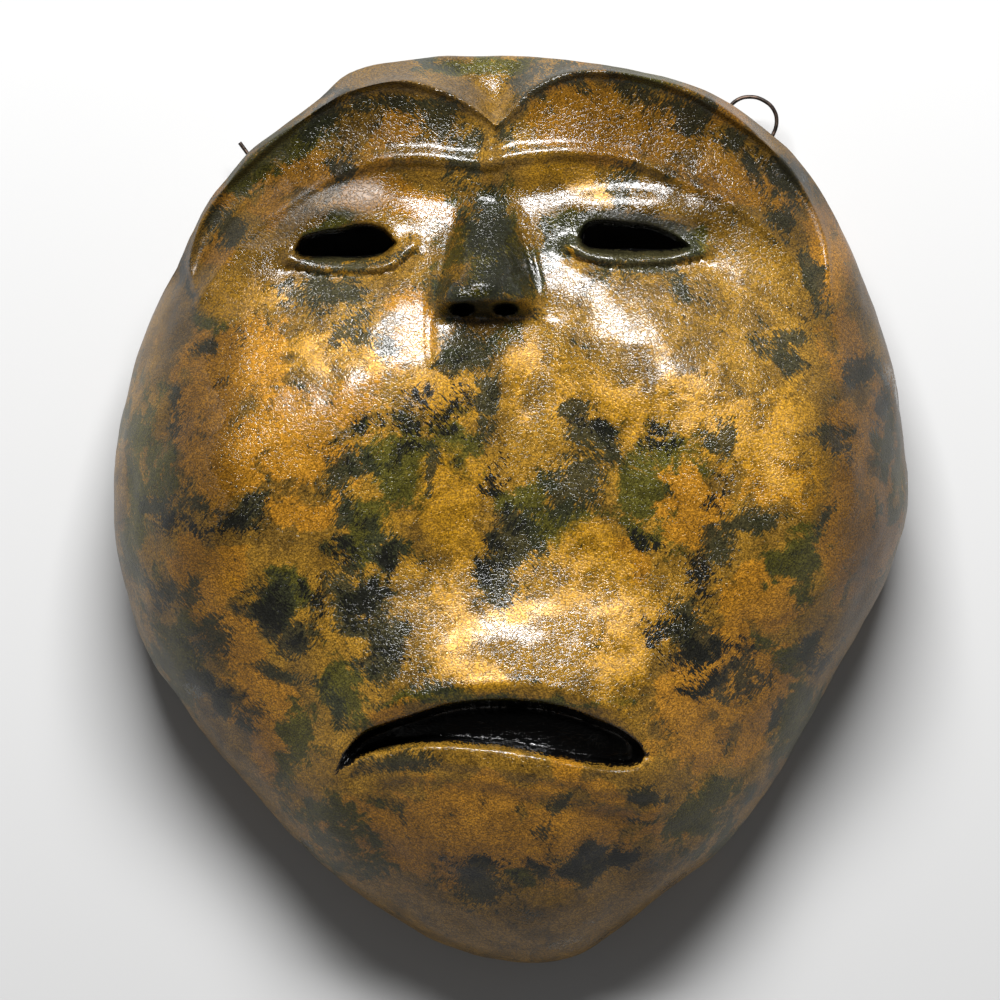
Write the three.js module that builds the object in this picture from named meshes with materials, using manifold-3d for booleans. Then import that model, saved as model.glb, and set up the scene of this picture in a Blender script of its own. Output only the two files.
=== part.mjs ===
// A hand-built clay mask, lying face up on its rim: the face looks along +Z, its crown points
// along +Y and the rim lies in the plane z = 0. All sizes are in millimetres and all directions
// round the face are in degrees, counted from +X towards +Y.
import * as THREE from 'three';
import Module from 'manifold-3d';
import { mergeVertices } from 'three/addons/utils/BufferGeometryUtils.js';

const wasm = await Module();
wasm.setup();

// Driving dimensions of the shell
const wallThickness = 8;
const crownHeight = 82;
const crownFallAcross = 0.0007;
const crownFallAlong = 0.0006;
const crownMiddle = -10;
const centreShift = [-0.085, -0.215];

// Reach of the outline from the middle of the face: [direction, reach]
const outlineReach = [
  [0, 126.9], [14, 128.9], [28, 133.4], [40, 138.9], [50, 145.0], [61, 147.4], [70, 146.9],
  [80, 145.1], [90, 145.6], [100, 147.2], [107, 149.1], [111, 148.6], [115, 145.7],
  [121, 142.7], [131, 139.8], [144, 133.0], [162, 129.0], [180, 127.2], [198, 125.3],
  [212, 122.3], [225, 121.4], [236, 125.2], [250, 133.6], [262, 141.0], [272, 145.5],
  [279, 144.0], [288, 135.0], [296, 130.4], [306, 125.4], [318, 119.2], [330, 116.2],
  [342, 118.9],
];
// How far in from the outline the face has rounded over: [direction, width]
const shoulderWidth = [
  [0, 50], [45, 46], [90, 34], [135, 38], [170, 46], [190, 56], [225, 90], [270, 96], [315, 88],
  [345, 60],
];
const shoulderPower = 3.2;
// Height at which the outline runs round the face: [direction, height]
const outlineHeight = [
  [0, 30], [30, 34], [50, 42], [65, 52], [80, 58], [98, 60], [110, 58], [122, 48], [136, 36],
  [155, 31], [180, 30], [225, 24], [270, 22], [315, 24],
];
// How far the side wall draws in below the outline before it meets the rim: [direction, depth]
const sideTuck = [
  [0, 5], [60, 5], [110, 6], [124, 9], [138, 12], [152, 9], [168, 6], [225, 5], [270, 6], [315, 5],
];
const sideTuckPower = 1.6;

// The cheeks: middle and reach across the face, how far their upper edge leans down per
// millimetre outwards of the pivot, the levels between which it rises, and how steeply
const cheeks = [
  { middle: -68, reach: 60, lean: 0.42, pivot: 66, levels: [82, 32], slope: 0.4 },
  { middle: 72, reach: 54, lean: 0.58, pivot: 54, levels: [84, 43], slope: 0.38 },
];
const cheekRounding = 11;
const cheekFoot = -70;
const cheekTop = 34;

// Rounded swellings of the broad form and of the face: middle, reach, height and turn
const chinSwelling = { middle: [3, -112], reach: [40, 18], height: 3 };
const middleSwelling = { middle: [0, 20], reach: [30, 50], height: 4 };
const socketShapes = [
  { middle: [-50, 82], reach: [30, 13], height: -4, turn: 8 },
  { middle: [42, 84], reach: [30, 13], height: -3, turn: -6 },
  { middle: [-24, 106], reach: [13, 8], height: -3 },
  { middle: [9, 106], reach: [13, 7], height: -3 },
  { middle: [-54, 96], reach: [24, 6.5], height: 2.4, turn: 10 },
  { middle: [40, 97], reach: [26, 6], height: 2.8, turn: -6 },
];
// The hollow is pressed into the nose, and kept back behind the eyes and the mouth
const hollowShapes = [
  { middle: [-8, 88], reach: [7, 13], height: 4 },
  { middle: [-46, 84], reach: [32, 18], height: -3 },
  { middle: [42, 86], reach: [32, 18], height: -3 },
  { middle: [-4, -72], reach: [60, 20], height: -3 },
  { middle: [6, -112], reach: [46, 24], height: -3 },
];

// The muzzle: middle and reach across, levels between which it rises and falls, and height
const muzzle = { middle: -1, reach: 62, rise: [-12, -61], fall: [-125, -75], height: 13 };

// The brows: upper and lower edge of each raised band, and where the lower edge's roll fades out
const brows = [
  {
    upper: throughPoints([
      [-4.5, 122.5], [-12, 128.5], [-22.7, 134], [-36, 137], [-51.5, 133.6], [-64.3, 126.2],
      [-83.5, 111.6], [-97.4, 94.5], [-102.2, 80], [-99.5, 68],
    ]),
    lower: throughPoints([
      [-3.5, 111.6], [-13, 111.2], [-23, 112.2], [-33, 112.8], [-45, 111.4], [-58, 106.4],
      [-70, 98.6], [-82, 90.3], [-91, 79.4], [-99, 68],
    ]),
    roll: [-102, -98],
  },
  {
    upper: throughPoints([
      [-4.5, 122.5], [1.5, 128.5], [7, 134], [15.7, 138.4], [25.3, 140], [41.3, 138.4],
      [60.5, 132], [79.7, 118.7], [92.5, 104.3], [100, 86.7], [101.5, 72],
    ]),
    lower: throughPoints([
      [-8.5, 110.8], [0, 112.8], [13, 114.2], [27, 113.8], [39, 111.8], [53, 106],
      [67, 100.2], [79, 92], [89, 81.5], [98, 70],
    ]),
    roll: [98, 78],
  },
];
const browMiddle = -3.5;
const browHeight = 80.5;
const browFall = 0.0022;
const browStand = 2;
const browBandWidth = 22;
const browHollow = 2.5;
const browDrop = 2;
const browCrest = { height: 1.3, width: 1.5 };
const browRoll = { height: 1.3, width: 3.4 };
const browHollowLean = 0.7;
const browWidening = 1.6;
// How the face falls away beyond a brow: steeply above it, and gently below it
const aboveBrow = { start: 0.4, slope: 2 };
const belowBrow = { width: 3, slope: 0.45, beyond: 0.05, blend: [4, 16] };
// The ridge that goes down from where the brows meet to the root of the nose
const browJoin = throughPoints([[-5, 123], [-6.4, 116], [-6.4, 108], [-6, 100]]);
const browJoinBead = { height: 2.2, width: 2.2 };
const browJoinEnd = [97, 109];

// The eyes: the edges of each slit, and the rolled lower lid under it
const eyes = [
  {
    upper: throughPoints([
      [-68.6, 83.4], [-66, 87], [-60, 88.8], [-54, 89.6], [-48, 91.2], [-41, 90], [-36.6, 85.4],
    ]),
    lower: throughPoints([
      [-68.6, 83.2], [-66, 81.2], [-57, 80.8], [-47, 81], [-40.6, 82], [-36.6, 85.2],
    ]),
    lid: throughPoints([
      [-70.5, 80.4], [-61, 78.2], [-52, 78], [-43.5, 78.2], [-38, 79.4], [-34.2, 82], [-31.2, 85],
    ]),
  },
  {
    upper: throughPoints([
      [22, 87.4], [24, 90.8], [28, 92], [36, 91.4], [44.5, 90.4], [51, 87.8], [56.4, 84.4],
    ]),
    lower: throughPoints([
      [22, 87.2], [24, 84.2], [30, 83.2], [41, 83.2], [50, 83], [56.4, 84.2],
    ]),
    lid: throughPoints([
      [18.5, 84.6], [25, 81.8], [33, 80.6], [42, 80.4], [52, 81], [62, 83.4],
    ]),
  },
];
const upperLidBead = { height: 1.4, width: 4 };
const lowerLidBead = { height: 2, width: 2.2 };
const slitFoot = 30;
const slitDepth = 90;

// The nose: heights of its root, tip and base on the face, its middle, its half width where it
// starts and what it gains by its base, and its tip, wings and nostrils
const noseRoot = 106;
const noseSpread = 110;
const noseTip = 72;
const noseEdge = 69.5;
const noseBase = 61.5;
const noseRise = 15;
const noseMiddle = -7;
const noseLean = 0.9;
const noseHalfWidth = [2.5, 16];
const noseFlare = 0.8;
const noseFade = 1.1;
const noseFlatness = 2.6;
const noseShapes = [
  { middle: [-8.5, 72], reach: [5.5, 4], height: 1.6 },
  { middle: [-20, 69.5], reach: [4.6, 5.4], height: 2.6 },
  { middle: [4.2, 69.5], reach: [4.6, 5.4], height: 2.6 },
];
const nostrils = [[-15.5, 64.3], [-1.9, 64.4]];
const nostrilReach = [3.8, 1.8];
const nostrilDepth = 7;
const nostrilRim = 0.35;

// The mouth: edge of the upper lip, edge of the lower lip, and the fold under the lower lip
const upperLip = throughPoints([
  [-55.5, -83], [-53, -77], [-46.7, -70.8], [-38.9, -67.4], [-29.9, -64.4], [-22, -62.1],
  [-12, -60.6], [-2, -60.2], [9, -60.7], [18.2, -62.7], [27.2, -66], [35, -69.4], [40.6, -73.6],
  [42.8, -77.4],
]);
const lowerLip = throughPoints([
  [-55.5, -83.4], [-51.2, -80.4], [-45.6, -77.3], [-37.8, -74.8], [-28.8, -73.9], [-19.8, -73.6],
  [-9.8, -74.3], [-0.8, -75.3], [9.3, -77.2], [19.4, -79.2], [29.4, -81], [36.5, -81.4],
  [41, -80.2], [42.8, -77.8],
]);
const chinFold = throughPoints([
  [-50, -84.6], [-44, -82.4], [-28, -81.8], [-12, -83], [4, -85.2], [20, -88.4], [34, -91],
  [43, -92],
]);
const chinSetBack = 7.5;
const mouthDepth = 8;
const lowerLipHeight = 2.4;
// How far the upper lip rolls over towards its edge, and over what width
const upperLipRoll = { depth: 3, width: 6.5 };
// Where the recess, the set-back chin and the lower lip fade out, at the left and at the right
const recessEnds = [[-56, -46], [44, 38]];
const chinEnds = [[-60, -36], [47, 31]];
const lipEnds = [[-52, -38], [48, 36]];
// How far from an edge each step of the mouth begins and ends
const chinStep = [0.8, -1.2];
const recessStep = [-0.6, 2.4];
const lipStep = [0, -1.5];
const foldStep = [-6.5, -1];

// The hanging wire: annealed iron wire, run through three holes in the side wall
const wireRadius = 0.65;
const wireHoleRadius = 1.15;
const wireSides = 8;
const wireHeight = 14;

function clamp(value) {
  return Math.min(Math.max(value, 0), 1);
}

function smoothStep(from, to, value) {
  const share = clamp((value - from) / (to - from));
  return share * share * (3 - 2 * share);
}

// 1 between two ends, fading out over each
function between([left, right], value) {
  return smoothStep(...left, value) * smoothStep(...right, value);
}

// Rises one for one as the value goes down from one level to another, with rounded corners
function straightRise([from, to], value, rounding) {
  return 0.5 * (Math.hypot(from - value, rounding) - Math.hypot(to - value, rounding) + from - to);
}

// The larger of two heights, rounded where they meet
function softMax(first, second) {
  return 0.5 * (first + second + Math.hypot(first - second, 1));
}

function throughPoints(points) {
  const curve = new THREE.SplineCurve(points.map(([x, y]) => new THREE.Vector2(x, y)));
  return curve.getPoints((points.length - 1) * 4);
}

// Smooth closed curve through [direction, value] knots, read at one direction
function roundTheFace(knots, direction) {
  const count = knots.length;
  const angle = ((direction % 360) + 360) % 360;
  let index = count - 1;
  while (index > 0 && knots[index][0] > angle) {
    index -= 1;
  }
  const knot = (step) => knots[(index + step + count) % count];
  const gap = (first, second) => (second[0] - first[0] + 360) % 360;
  const slope = (before, after) => (after[1] - before[1]) / gap(before, after);
  const span = gap(knot(0), knot(1));
  const share = gap(knot(0), [angle]) / span;
  const rest = 1 - share;
  return (1 + 2 * share) * rest * rest * knot(0)[1]
    + share * rest * rest * span * slope(knot(-1), knot(1))
    + share * share * (3 - 2 * share) * knot(1)[1]
    - share * share * rest * span * slope(knot(0), knot(2));
}

function distanceTo(curve, x, y) {
  let nearest = Infinity;
  for (let i = 0; i + 1 < curve.length; i += 1) {
    const dx = curve[i + 1].x - curve[i].x;
    const dy = curve[i + 1].y - curve[i].y;
    const share = clamp(((x - curve[i].x) * dx + (y - curve[i].y) * dy) / (dx * dx + dy * dy));
    const offX = x - curve[i].x - share * dx;
    const offY = y - curve[i].y - share * dy;
    nearest = Math.min(nearest, Math.hypot(offX, offY));
  }
  return nearest;
}

// Height on the page of a left-to-right curve, at x
function levelOf(curve, x) {
  let index = 0;
  while (index + 2 < curve.length && curve[index + 1].x < x) {
    index += 1;
  }
  const first = curve[index];
  const second = curve[index + 1];
  return first.y + clamp((x - first.x) / (second.x - first.x)) * (second.y - first.y);
}

function isBetween(upper, lower, x, y) {
  const edge = [...upper, ...lower.toReversed()];
  let inside = false;
  edge.forEach((point, i) => {
    const next = edge[(i + 1) % edge.length];
    if ((point.y > y) !== (next.y > y)) {
      const crossing = point.x + (y - point.y) * (next.x - point.x) / (next.y - point.y);
      inside = x < crossing ? !inside : inside;
    }
  });
  return inside;
}

// Rounded swelling, 1 high at its middle
function mound(x, y, middle, reach, turn = 0) {
  const angle = THREE.MathUtils.degToRad(turn);
  const dx = x - middle[0];
  const dy = y - middle[1];
  const along = (dx * Math.cos(angle) + dy * Math.sin(angle)) / reach[0];
  const across = (dy * Math.cos(angle) - dx * Math.sin(angle)) / reach[1];
  return Math.exp(-along * along - across * across);
}

function heightOf(shapes, x, y) {
  return shapes.reduce(
    (sum, { middle, reach, height, turn }) => sum + height * mound(x, y, middle, reach, turn),
    0,
  );
}

// Rounded ridge along a curve
function bead(distance, { height, width }) {
  return height * Math.exp(-((distance / width) ** 2));
}

// Fuller ridge, like a rolled edge, that stops where its width ends
function rolledEdge(distance, { height, width }) {
  return height * Math.max(1 - (distance / width) ** 2, 0);
}

function flatBell(x, middle, reach) {
  return Math.exp(-((Math.abs(x - middle) / reach) ** 4));
}

// The broad form of the face: a domed shield with cheeks. The hollow behind the face is the
// same form, drawn in and sunk by the wall's thickness.
function broadForm(x, y, inset) {
  const direction = THREE.MathUtils.radToDeg(Math.atan2(y, x));
  const reach = roundTheFace(outlineReach, direction) - inset;
  const within = Math.max(reach - Math.hypot(x, y), 0);
  const outward = 1 - Math.min(within / roundTheFace(shoulderWidth, direction), 1);
  const edge = roundTheFace(outlineHeight, direction) - inset / 2;
  const crown = crownHeight - inset - crownFallAcross * x * x - crownFallAlong * (y - crownMiddle) ** 2;
  const dome = Math.sqrt(1 - outward ** shoulderPower);
  let z = edge + (crown - edge) * dome;
  for (const { middle, reach: cheekReach, lean, pivot, levels, slope } of cheeks) {
    const level = y + lean * (Math.abs(x) - pivot);
    const rise = slope * straightRise(levels, level, cheekRounding);
    z += rise * flatBell(x, middle, cheekReach) * smoothStep(cheekFoot, cheekTop, level) * dome;
  }
  return z + heightOf([chinSwelling], x, y);
}

// A brow is a band with a thin raised edge above, a hollow along it and a rolled edge below
function brow(x, y, z, { upper, lower, roll: rollEnd }) {
  const above = distanceTo(upper, x, y);
  const below = distanceTo(lower, x, y);
  const width = Math.tanh(browWidening * (above + below) / browBandWidth);
  const share = above / Math.max(above + below, 0.1);
  const arch = browHeight - browFall * (x - browMiddle) ** 2;
  const crest = softMax(arch, z + browStand * width) + width * bead(above, browCrest);
  const hollow = browHollow * Math.sin(Math.PI * share ** browHollowLean);
  let over = crest - width * (hollow + browDrop * share);
  let hold = 1;
  if (!isBetween(upper, lower, x, y)) {
    const out = Math.min(above, below);
    const under = smoothStep(-belowBrow.width, belowBrow.width, above - below);
    const steep = aboveBrow.slope * Math.max(out - aboveBrow.start, 0);
    const soft = belowBrow.slope * Math.min(out, belowBrow.width)
      + belowBrow.beyond * Math.max(out - belowBrow.width, 0);
    over = crest - (browDrop * width + soft) * under - steep * (1 - under);
    hold = 1 - smoothStep(...belowBrow.blend, out) * under;
  }
  over += rolledEdge(below, browRoll) * smoothStep(...rollEnd, x);
  return z + hold * (softMax(over, z) - z);
}

function nose(x, y, z) {
  const down = clamp((noseSpread - y) / (noseSpread - noseBase));
  const toTip = clamp((noseRoot - y) / (noseRoot - noseTip));
  const half = noseHalfWidth[0] + noseHalfWidth[1] * down ** noseFlare;
  const across = Math.abs(x - noseMiddle + noseLean * toTip) / half;
  const under = clamp((y - noseBase) / (noseEdge - noseBase));
  const rise = noseRise * smoothStep(0, noseFade, toTip) * under * (2 - under);
  let lifted = z + rise * Math.max(1 - across ** noseFlatness, 0) + heightOf(noseShapes, x, y);
  for (const nostril of nostrils) {
    const open = (1 + 2 * nostrilRim) * mound(x, y, nostril, nostrilReach) - nostrilRim;
    lifted -= nostrilDepth * clamp(open);
  }
  return lifted;
}

function eyeSockets(x, y, z) {
  let shaped = z + heightOf(socketShapes, x, y);
  for (const { upper, lid } of eyes) {
    shaped += bead(distanceTo(upper, x, y), upperLidBead) + bead(distanceTo(lid, x, y), lowerLidBead);
  }
  return shaped;
}

function mouth(x, y, z) {
  const top = levelOf(upperLip, x);
  const bottom = levelOf(lowerLip, x);
  const fold = levelOf(chinFold, x);
  const setBack = chinSetBack * smoothStep(...chinStep, y - top) * between(chinEnds, x);
  const rollShare = clamp(1 - Math.abs(y - top) / upperLipRoll.width);
  const roll = upperLipRoll.depth * rollShare ** 2 * between(chinEnds, x);
  const within = Math.min(top - y, y - bottom);
  const recess = mouthDepth * smoothStep(...recessStep, within) * between(recessEnds, x);
  const lip = smoothStep(...lipStep, y - bottom) * smoothStep(...foldStep, y - fold);
  return z - setBack - roll - recess + lowerLipHeight * lip * between(lipEnds, x);
}

function faceHeight(x, y) {
  const acrossMuzzle = flatBell(x, muzzle.middle, muzzle.reach);
  let z = broadForm(x, y, 0) + heightOf([middleSwelling], x, y);
  z += muzzle.height * acrossMuzzle * smoothStep(...muzzle.rise, y) * smoothStep(...muzzle.fall, y);
  z = eyeSockets(x, y, z);
  z = Math.max(...brows.map((shape) => brow(x, y, z, shape)));
  z += bead(distanceTo(browJoin, x, y), browJoinBead) * smoothStep(...browJoinEnd, y);
  return mouth(x, y, nose(x, y, z));
}

function hollowHeight(x, y) {
  return broadForm(x, y, wallThickness) + heightOf(hollowShapes, x, y);
}

// A mesh under construction: points, and triangles of point numbers
class Skin {
  constructor() {
    this.points = [];
    this.triangles = [];
  }

  ring(count, place) {
    return Array.from({ length: count }, (_, i) => {
      const direction = (360 * i) / count;
      this.points.push(place(direction));
      return this.points.length - 1;
    });
  }

  // Fills the strip between two closed rings, which may have different counts; one may be a point
  stitch(outer, inner) {
    let i = 0;
    let j = 0;
    while (i < outer.length || j < inner.length) {
      const a = outer[i % outer.length];
      const b = inner[j % inner.length];
      const stepOuter = (i + 1) / outer.length <= (j + 1) / inner.length;
      i += stepOuter ? 1 : 0;
      j += stepOuter ? 0 : 1;
      const next = stepOuter ? outer[i % outer.length] : inner[j % inner.length];
      if (next !== a && next !== b) {
        this.triangles.push([a, next, b]);
      }
    }
  }
}

function onOutline(direction, inset, z) {
  const angle = THREE.MathUtils.degToRad(direction);
  const reach = roundTheFace(outlineReach, direction) - inset;
  return [reach * Math.cos(angle), reach * Math.sin(angle), z];
}

function lengthOf([ax, ay], [bx, by]) {
  return Math.hypot(ax - bx, ay - by);
}

// How far the face's true surface stands off the straight edge between two points
function gapToFace(a, b) {
  const samples = 4;
  let worst = 0;
  for (let i = 1; i <= samples; i += 1) {
    const share = i / (samples + 1);
    const [x, y, z] = a.map((value, axis) => value + share * (b[axis] - value));
    worst = Math.max(worst, Math.abs(faceHeight(x, y) - z));
  }
  const slope = (b[2] - a[2]) / lengthOf(a, b);
  return worst / Math.sqrt(1 + slope * slope);
}

function toSharpEdge(x, y) {
  const sharpEdges = [...brows.flatMap(({ upper, lower }) => [upper, lower]), upperLip, lowerLip];
  return Math.min(...sharpEdges.map((curve) => distanceTo(curve, x, y)));
}

// Where to split an edge: on a sharp edge of the face that it crosses, or else halfway
function splitPlace(a, b) {
  const shares = [0.5, 0.4, 0.6, 0.3, 0.7];
  const places = shares.map((share) => [a[0] + share * (b[0] - a[0]), a[1] + share * (b[1] - a[1])]);
  const away = places.map(([x, y]) => toSharpEdge(x, y));
  const least = Math.min(...away);
  const isCrossed = least < lengthOf(a, b) / 8;
  return isCrossed ? places[away.indexOf(least)] : places[0];
}

// Splits the face's edges wherever the surface stands off them, and keeps the triangles well shaped
function refine(skin, held, tolerance, shortest) {
  const key = (a, b) => (a < b ? `${a}_${b}` : `${b}_${a}`);
  const edgesOf = ([a, b, c]) => [[a, b], [b, c], [c, a]];
  const isHeld = ([a, b]) => held.has(a) && held.has(b);
  const length = ([a, b]) => lengthOf(skin.points[a], skin.points[b]);
  const middles = new Map();
  const checked = new Map();
  const needsSplit = (edge) => {
    const name = key(...edge);
    if (!checked.has(name)) {
      const [a, b] = edge.map((index) => skin.points[index]);
      const worth = !isHeld(edge) && length(edge) > shortest && gapToFace(a, b) > tolerance;
      checked.set(name, worth);
    }
    return checked.get(name);
  };
  const marked = new Set();
  for (const triangle of skin.triangles) {
    for (const edge of edgesOf(triangle)) {
      if (needsSplit(edge)) {
        marked.add(key(...edge));
      }
    }
  }
  let spreading = marked.size > 0;
  while (spreading) {
    spreading = false;
    for (const triangle of skin.triangles) {
      const edges = edgesOf(triangle);
      if (edges.some((edge) => marked.has(key(...edge)))) {
        const free = edges.filter((edge) => !isHeld(edge)).sort((a, b) => length(b) - length(a));
        if (!marked.has(key(...free[0]))) {
          marked.add(key(...free[0]));
          spreading = true;
        }
      }
    }
  }
  const middleOf = ([a, b]) => {
    const name = key(a, b);
    if (!middles.has(name)) {
      const [x, y] = splitPlace(skin.points[a], skin.points[b]);
      skin.points.push([x, y, faceHeight(x, y)]);
      middles.set(name, skin.points.length - 1);
    }
    return middles.get(name);
  };
  const split = [];
  const divide = (triangle) => {
    const edges = edgesOf(triangle).filter((edge) => marked.has(key(...edge)));
    if (edges.length === 0) {
      split.push(triangle);
      return;
    }
    edges.sort((a, b) => length(b) - length(a));
    const [a, b] = edges[0];
    const far = triangle.find((index) => index !== a && index !== b);
    const middle = middleOf(edges[0]);
    divide([a, middle, far]);
    divide([middle, b, far]);
  };
  skin.triangles.forEach(divide);
  skin.triangles = split;
  return marked.size;
}

// The closed skin of the mask: face, side wall, rim, and the hollow behind the face
function maskSkin() {
  const ringCount = 96;
  const face = new Skin();
  const onFace = (inset) => (direction) => {
    const [x, y] = onOutline(direction, inset, 0);
    return [x, y, faceHeight(x, y)];
  };
  // Rings of the face: [how far in from the outline, how many times fewer points]
  const faceRings = [
    [0, 1], [1, 1], [3.5, 1], [8, 2], [15, 2], [25, 2], [38, 4], [54, 4], [74, 8], [96, 16],
  ];
  const rings = faceRings.map(([inset, thin]) => face.ring(ringCount / thin, onFace(inset)));
  rings.slice(1).forEach((ring, i) => face.stitch(rings[i], ring));
  face.points.push([0, 0, faceHeight(0, 0)]);
  face.stitch(rings.at(-1), [face.points.length - 1]);
  const outline = rings[0];
  const held = new Set(outline);
  const tolerance = 0.5;
  const shortest = 2.9;
  for (let round = 0; round < 7; round += 1) {
    refine(face, held, tolerance, shortest);
  }

  // the side wall goes down from the outline to the rim, drawing in as it goes
  const sideSteps = [0.25, 0.5, 0.75, 1];
  let previous = outline;
  for (const down of sideSteps) {
    const next = face.ring(ringCount, (direction) => {
      const [x, y] = onOutline(direction, 0, 0);
      const draw = roundTheFace(sideTuck, direction) * down ** sideTuckPower;
      return onOutline(direction, draw, faceHeight(x, y) * (1 - down));
    });
    face.stitch(next, previous);
    previous = next;
  }

  // the rim, then the hollow, which follows the broad form at the wall's thickness
  const hollowInset = (direction) => roundTheFace(sideTuck, direction) + wallThickness;
  const rimInside = face.ring(ringCount, (direction) => onOutline(direction, hollowInset(direction), 0));
  face.stitch(rimInside, previous);
  previous = rimInside;
  const hollowRings = [[0.7, 1], [3, 1], [8, 2], [16, 2], [28, 2], [44, 4], [66, 4], [92, 8]];
  for (const [inset, thin] of hollowRings) {
    const next = face.ring(ringCount / thin, (direction) => {
      const [x, y] = onOutline(direction, hollowInset(direction) + inset, 0);
      return [x, y, hollowHeight(x, y)];
    });
    face.stitch(next, previous);
    previous = next;
  }
  face.points.push([0, 0, hollowHeight(0, 0)]);
  face.stitch([face.points.length - 1], previous);
  return face;
}

function toSolid(geometry) {
  const bare = geometry.clone();
  bare.deleteAttribute('normal');
  bare.deleteAttribute('uv');
  const merged = mergeVertices(bare, 1e-4);
  const triVerts = Uint32Array.from(merged.index.array);
  const vertProperties = Float32Array.from(merged.attributes.position.array);
  return new wasm.Manifold(new wasm.Mesh({ numProp: 3, vertProperties, triVerts }));
}

function toGeometry(solid) {
  const mesh = solid.getMesh();
  const geometry = new THREE.BufferGeometry();
  geometry.setAttribute('position', new THREE.BufferAttribute(mesh.vertProperties, 3));
  geometry.setIndex(new THREE.BufferAttribute(mesh.triVerts, 1));
  return geometry;
}

function skinGeometry(skin) {
  const geometry = new THREE.BufferGeometry();
  geometry.setAttribute('position', new THREE.Float32BufferAttribute(skin.points.flat(), 3));
  geometry.setIndex(skin.triangles.flat());
  return geometry;
}

// A route whose steps fall on its own knots, so that tight turns get more of them
class KnottedRoute extends THREE.CatmullRomCurve3 {
  getPointAt(share, target) {
    return this.getPoint(share, target);
  }

  getTangentAt(share, target) {
    return this.getTangent(share, target);
  }
}

function tubeAlong(points, radius) {
  const section = new THREE.Shape();
  for (let i = 0; i < wireSides; i += 1) {
    const angle = (2 * Math.PI * i) / wireSides;
    const move = i === 0 ? 'moveTo' : 'lineTo';
    section[move](radius * Math.cos(angle), radius * Math.sin(angle));
  }
  const path = new KnottedRoute(points, false, 'centripetal');
  return new THREE.ExtrudeGeometry(section, { steps: points.length - 1, extrudePath: path });
}

// A point of the wire beside a hole: out from the middle, round to one side, and up
function besideHole(direction, out, side, z) {
  const angle = THREE.MathUtils.degToRad(direction);
  return new THREE.Vector3(
    out * Math.cos(angle) - side * Math.sin(angle),
    out * Math.sin(angle) + side * Math.cos(angle),
    z,
  );
}

const rightHoles = 58.3;
const leftHole = 126.3;

function wireRoute() {
  const tail = [147.4, 141, 134, 127, 119, 112].map((out) => besideHole(leftHole, out, 0, wireHeight));
  const span = [[-40, 96.5], [-10, 102.5], [18, 107], [34, 109.2], [50, 111]]
    .map(([x, y]) => new THREE.Vector3(x, y, wireHeight));
  const loopSteps = [
    [128, 9], [134, 8.6], [140, 8.4], [146, 8.6], [151, 7.6], [154.2, 4.4], [155.4, 0.2],
    [154.6, -4], [151.6, -7], [146.5, -8.2], [140, -8.4], [134, -8.6], [128, -8], [123, -3],
  ];
  const loop = loopSteps.map(([out, side]) => besideHole(rightHoles, out, side, wireHeight));
  const turns = windingTurns(span.at(-1), span.at(-2));
  return [...tail, ...span, ...loop, ...turns];
}

// The wire's end, wound three times round its own span
function windingTurns(start, end) {
  const turnCount = 3;
  const perTurn = 8;
  const windingRadius = 2 * wireRadius + 0.35;
  const along = end.clone().sub(start);
  const length = along.length();
  along.normalize();
  const up = new THREE.Vector3(0, 0, 1);
  const across = new THREE.Vector3().crossVectors(along, up);
  return Array.from({ length: turnCount * perTurn + 1 }, (_, i) => {
    const angle = (2 * Math.PI * i) / perTurn;
    return start.clone()
      .addScaledVector(along, 1 + (i / (turnCount * perTurn)) * (length - 3))
      .addScaledVector(across, -windingRadius * Math.cos(angle))
      .addScaledVector(up, windingRadius * Math.sin(angle));
  });
}

function wireHoles() {
  const through = (direction, side) => [126, 146].map((out) => besideHole(direction, out, side, wireHeight));
  return [
    through(rightHoles, 8.4),
    through(rightHoles, -8.4),
    [116, 138].map((out) => besideHole(leftHole, out, 0, wireHeight)),
  ].map((ends) => tubeAlong(ends, wireHoleRadius));
}

function eyeSlit({ upper, lower }) {
  const thin = (curve) => curve.filter((_, i) => i % 3 === 0 || i === curve.length - 1);
  const outline = [...thin(upper), ...thin(lower).toReversed().slice(1, -1)];
  const slit = new THREE.Shape(outline);
  const geometry = new THREE.ExtrudeGeometry(slit, { depth: slitDepth, bevelEnabled: false });
  geometry.translate(0, 0, slitFoot);
  return geometry;
}

function maskShell() {
  let solid = toSolid(skinGeometry(maskSkin()));
  for (const cutter of [...eyes.map(eyeSlit), ...wireHoles()]) {
    solid = solid.subtract(toSolid(cutter));
  }
  const clay = new THREE.MeshStandardMaterial({ color: 0x8a5f22, roughness: 0.3, metalness: 0.1 });
  const mesh = new THREE.Mesh(toGeometry(solid), clay);
  mesh.name = 'mask_shell';
  return mesh;
}

function hangingWire() {
  const iron = new THREE.MeshStandardMaterial({ color: 0x1d1714, roughness: 0.45, metalness: 0.8 });
  const mesh = new THREE.Mesh(tubeAlong(wireRoute(), wireRadius), iron);
  mesh.name = 'hanging_wire';
  return mesh;
}

const mask = new THREE.Group();
mask.name = 'clay_mask';
mask.add(maskShell(), hangingWire());
mask.position.set(centreShift[0], centreShift[1], 0);

export default mask;
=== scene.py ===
"""Visual model of a hand-built clay mask that lies face up, and of the iron wire it hangs by.

The face looks along +Z, its crown points along +Y and its rim lies on z = 0. The functions that
give its form work in millimetres; everything that Blender is given is in metres.
"""
import math

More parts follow.
